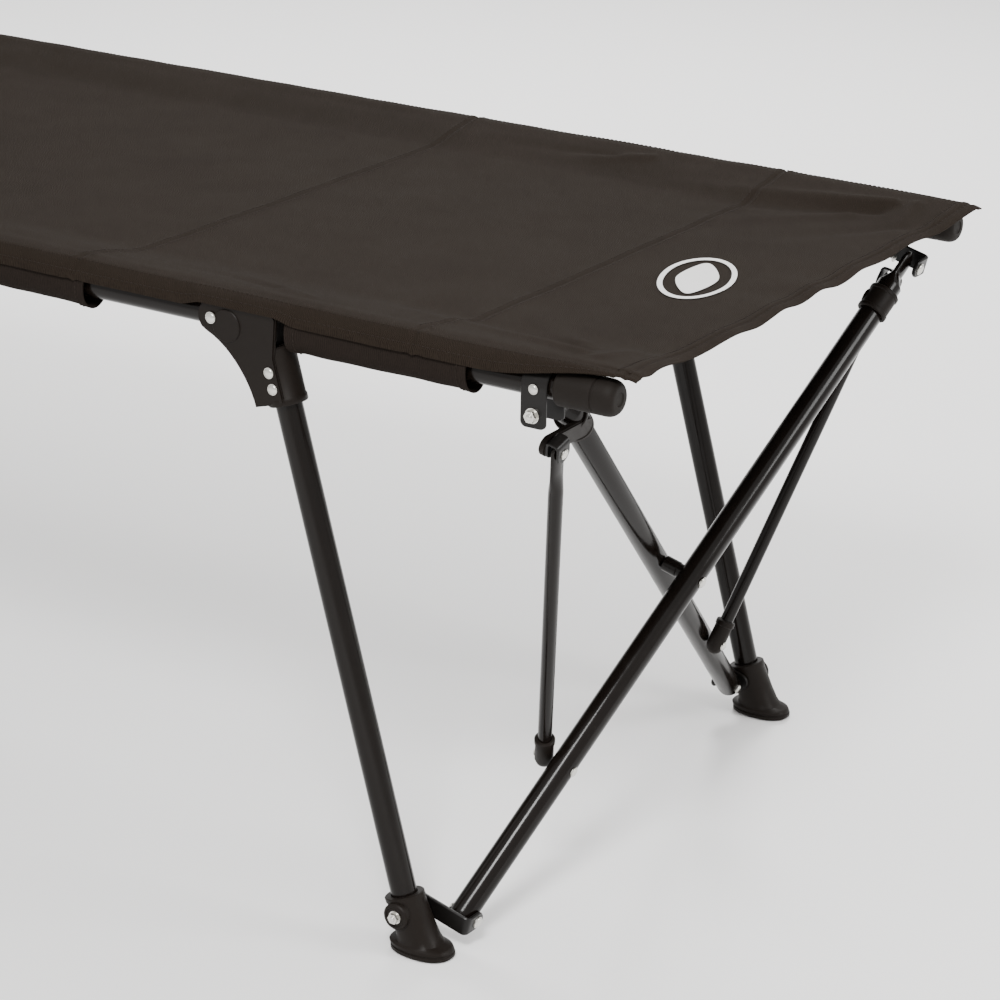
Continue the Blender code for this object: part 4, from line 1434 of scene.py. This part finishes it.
def buildFasteners():
    outer, inner = Vector((0, -1, 0)), Vector((0, 1, 0))
    face = knuckle["outer"]
    total = 0
    for corner, place in cornerPlace.items():
        ax, az = cot["midPivot"]
        bx, bz = cot["endPivot"]
        ex, ez = cot["endBolt"]
        fx, fz = cot["footBolt"]
        legRivets = []
        for along in (0.0185, 0.0320):
            p = legPoint(along, 0.0)
            legRivets += [((p.x, -railY - face + 0.0002, p.z), outer, 1.0),
                          ((p.x, -railY + face - 0.0002, p.z), inner, 1.0)]
        mid = [((ax, -railY - face - 0.0010, az), outer, 1.05), ((ax, -railY + face, az), inner, 1.05)]
        if corner.startswith("head"):
            low = railZ - centreHinge["drop"]
            mid += [((0.0, -railY - 0.0092, low), outer, 1.05), ((0.0, -railY + 0.0092, low), inner, 1.05)]
        end = [((bx, -railY + face, bz), inner, 1.0),
               ((ex + 0.0005, -railY - 0.0146, railZ - 0.001), outer, 0.88),
               ((ex + 0.0005, -railY + 0.0146, railZ - 0.001), inner, 0.88)]
        nuts = [((ex, -railY - 0.0144, ez), outer, 0.96)]
        foot = [((fx, -railY - 0.0184, fz), outer, 0.88)]
        for word, spots, tree, body in (("_legRivets", legRivets, rivetTree, "_leg"),
                                        ("_midRivets", mid, rivetTree, "_mid"),
                                        ("_endRivets", end, rivetTree, "_end"),
                                        ("_endNut", nuts, nutTree, "_end"),
                                        ("_footNut", foot, nutTree, "_leg")):
            key = "nut" if tree == nutTree else "rivet"
            fastenerPiece(corner + word, placed(spots, place), tree, hardware[key], hardware[key + "Height"],
                          corner + body)
            total += len(spots)
    for corner, (side, layer, outboard, place) in scissorPlace.items():
        n = outVector
        backFace = tubeRadius + 0.0004 + fitting["plate"]
        clevis = [(scissorPoint(side * pinY, 0.0, layer + outboard * backFace), n * outboard, 1.15)]
        yoke = [(scissorPoint(-side * pinY, rise, layer + outboard * backFace), n * outboard, 1.15)]
        tube = [(scissorPoint(side * pinY, 0.0, layer - outboard * (tubeRadius - 0.0004)), -n * outboard,
                 0.95),
                (scissorPoint(-side * pinY, rise, layer - outboard * (tubeRadius - 0.0004)), -n * outboard,
                 0.95),
                (alongDiagonal(tubes["strutFoot"], side, layer + outboard * (tubeRadius - 0.0004)),
                 n * outboard, 1.0),
                (scissorPoint(0.0, rise / 2, layer + outboard * (tubeRadius - 0.0004)), n * outboard, 1.15)]
        foot, head = strutEnds(side)
        rod = [(foot - n * outboard * (strut["cupRadius"] - 0.0006), -n * outboard, 0.92)]
        cheek = collar["saddleGap"] + collar["saddlePlate"]
        saddle = [(head + n * cheek, n, 0.92), (head - n * cheek, -n, 0.92)]
        for word, spots, body in (("_clevisPin", clevis, "_clevis"), ("_yokePin", yoke, "_yoke"),
                                  ("_tubeBolts", tube, "_diagonal"), ("_strutPin", rod, "_strut"),
                                  ("_saddlePin", saddle, "_collar")):
            fastenerPiece(corner + word, placed(spots, place), rivetTree, hardware["rivet"],
                          hardware["rivetHeight"],
                          corner + body)
            total += len(spots)
    print("fasteners done:", total)


buildFasteners()


# floor, lights and camera

studio = {
    "floor": (0.93, 0.925, 0.92),
    "world": ((1.0, 0.99, 0.98), 1.15),
    "lights": [
        ("keySoftbox", (1.6, -2.4, 3.0), (0.2, 0.0, 0.4), 0.9, 130.0),
        ("farSoftbox", (-0.8, 2.8, 2.6), (0.4, 0.0, 0.4), 1.0, 110.0),
        ("footStrip", (3.2, 0.6, 1.8), (0.8, 0.0, 0.3), 1.0, 40.0),
    ],
    "cameraPlace": (2.0975, -2.2382, 1.27944),
    "yaw": 0.56835,
    "pitch": 0.35970,
    "roll": 0.01829,
    "focal": 3.22169,
}


def buildStage():
    bm = bmesh.new()
    bmesh.ops.create_grid(bm, x_segments=2, y_segments=2, size=14.0)
    mesh = bpy.data.meshes.new("studioFloor")
    bm.to_mesh(mesh)
    bm.free()
    floor = bpy.data.objects.new("studioFloor", mesh)
    floor.location.z = -0.0004
    paint = bpy.data.materials.new("paleFloor")
    paint.use_nodes = True
    paint.node_tree.nodes["Principled BSDF"].inputs["Base Color"].default_value = (*studio["floor"], 1.0)
    paint.node_tree.nodes["Principled BSDF"].inputs["Roughness"].default_value = 0.9
    floor.data.materials.append(paint)
    bpy.context.scene.collection.objects.link(floor)
    world = bpy.context.scene.world or bpy.data.worlds.new("studio")
    bpy.context.scene.world = world
    world.use_nodes = True
    background = world.node_tree.nodes["Background"]
    background.inputs["Color"].default_value = (*studio["world"][0], 1.0)
    background.inputs["Strength"].default_value = studio["world"][1]
    for name, spot, target, size, power in studio["lights"]:
        lamp = bpy.data.lights.new(name, "AREA")
        lamp.size = size
        lamp.energy = power
        item = bpy.data.objects.new(name, lamp)
        item.location = spot
        item.rotation_euler = (Vector(target) - Vector(spot)).to_track_quat("-Z", "Y").to_euler()
        bpy.context.scene.collection.objects.link(item)


def buildCamera():
    yaw, pitch, roll = studio["yaw"], studio["pitch"], studio["roll"]
    ahead = Vector((-math.sin(yaw) * math.cos(pitch), math.cos(yaw) * math.cos(pitch), -math.sin(pitch)))
    right = Vector((math.cos(yaw), math.sin(yaw), 0.0))
    above = right.cross(ahead)
    rolledRight = right * math.cos(roll) + above * math.sin(roll)
    rolledAbove = above * math.cos(roll) - right * math.sin(roll)
    lens = bpy.data.cameras.new("studioCamera")
    lens.sensor_width = 36.0
    lens.lens = 36.0 * studio["focal"]
    lens.clip_end = 60.0
    item = bpy.data.objects.new("studioCamera", lens)
    turn = Matrix((rolledRight, rolledAbove, -ahead)).transposed().to_4x4()
    item.matrix_world = Matrix.Translation(studio["cameraPlace"]) @ turn
    bpy.context.scene.collection.objects.link(item)
    bpy.context.scene.camera = item


buildStage()
buildCamera()
print("stage done")
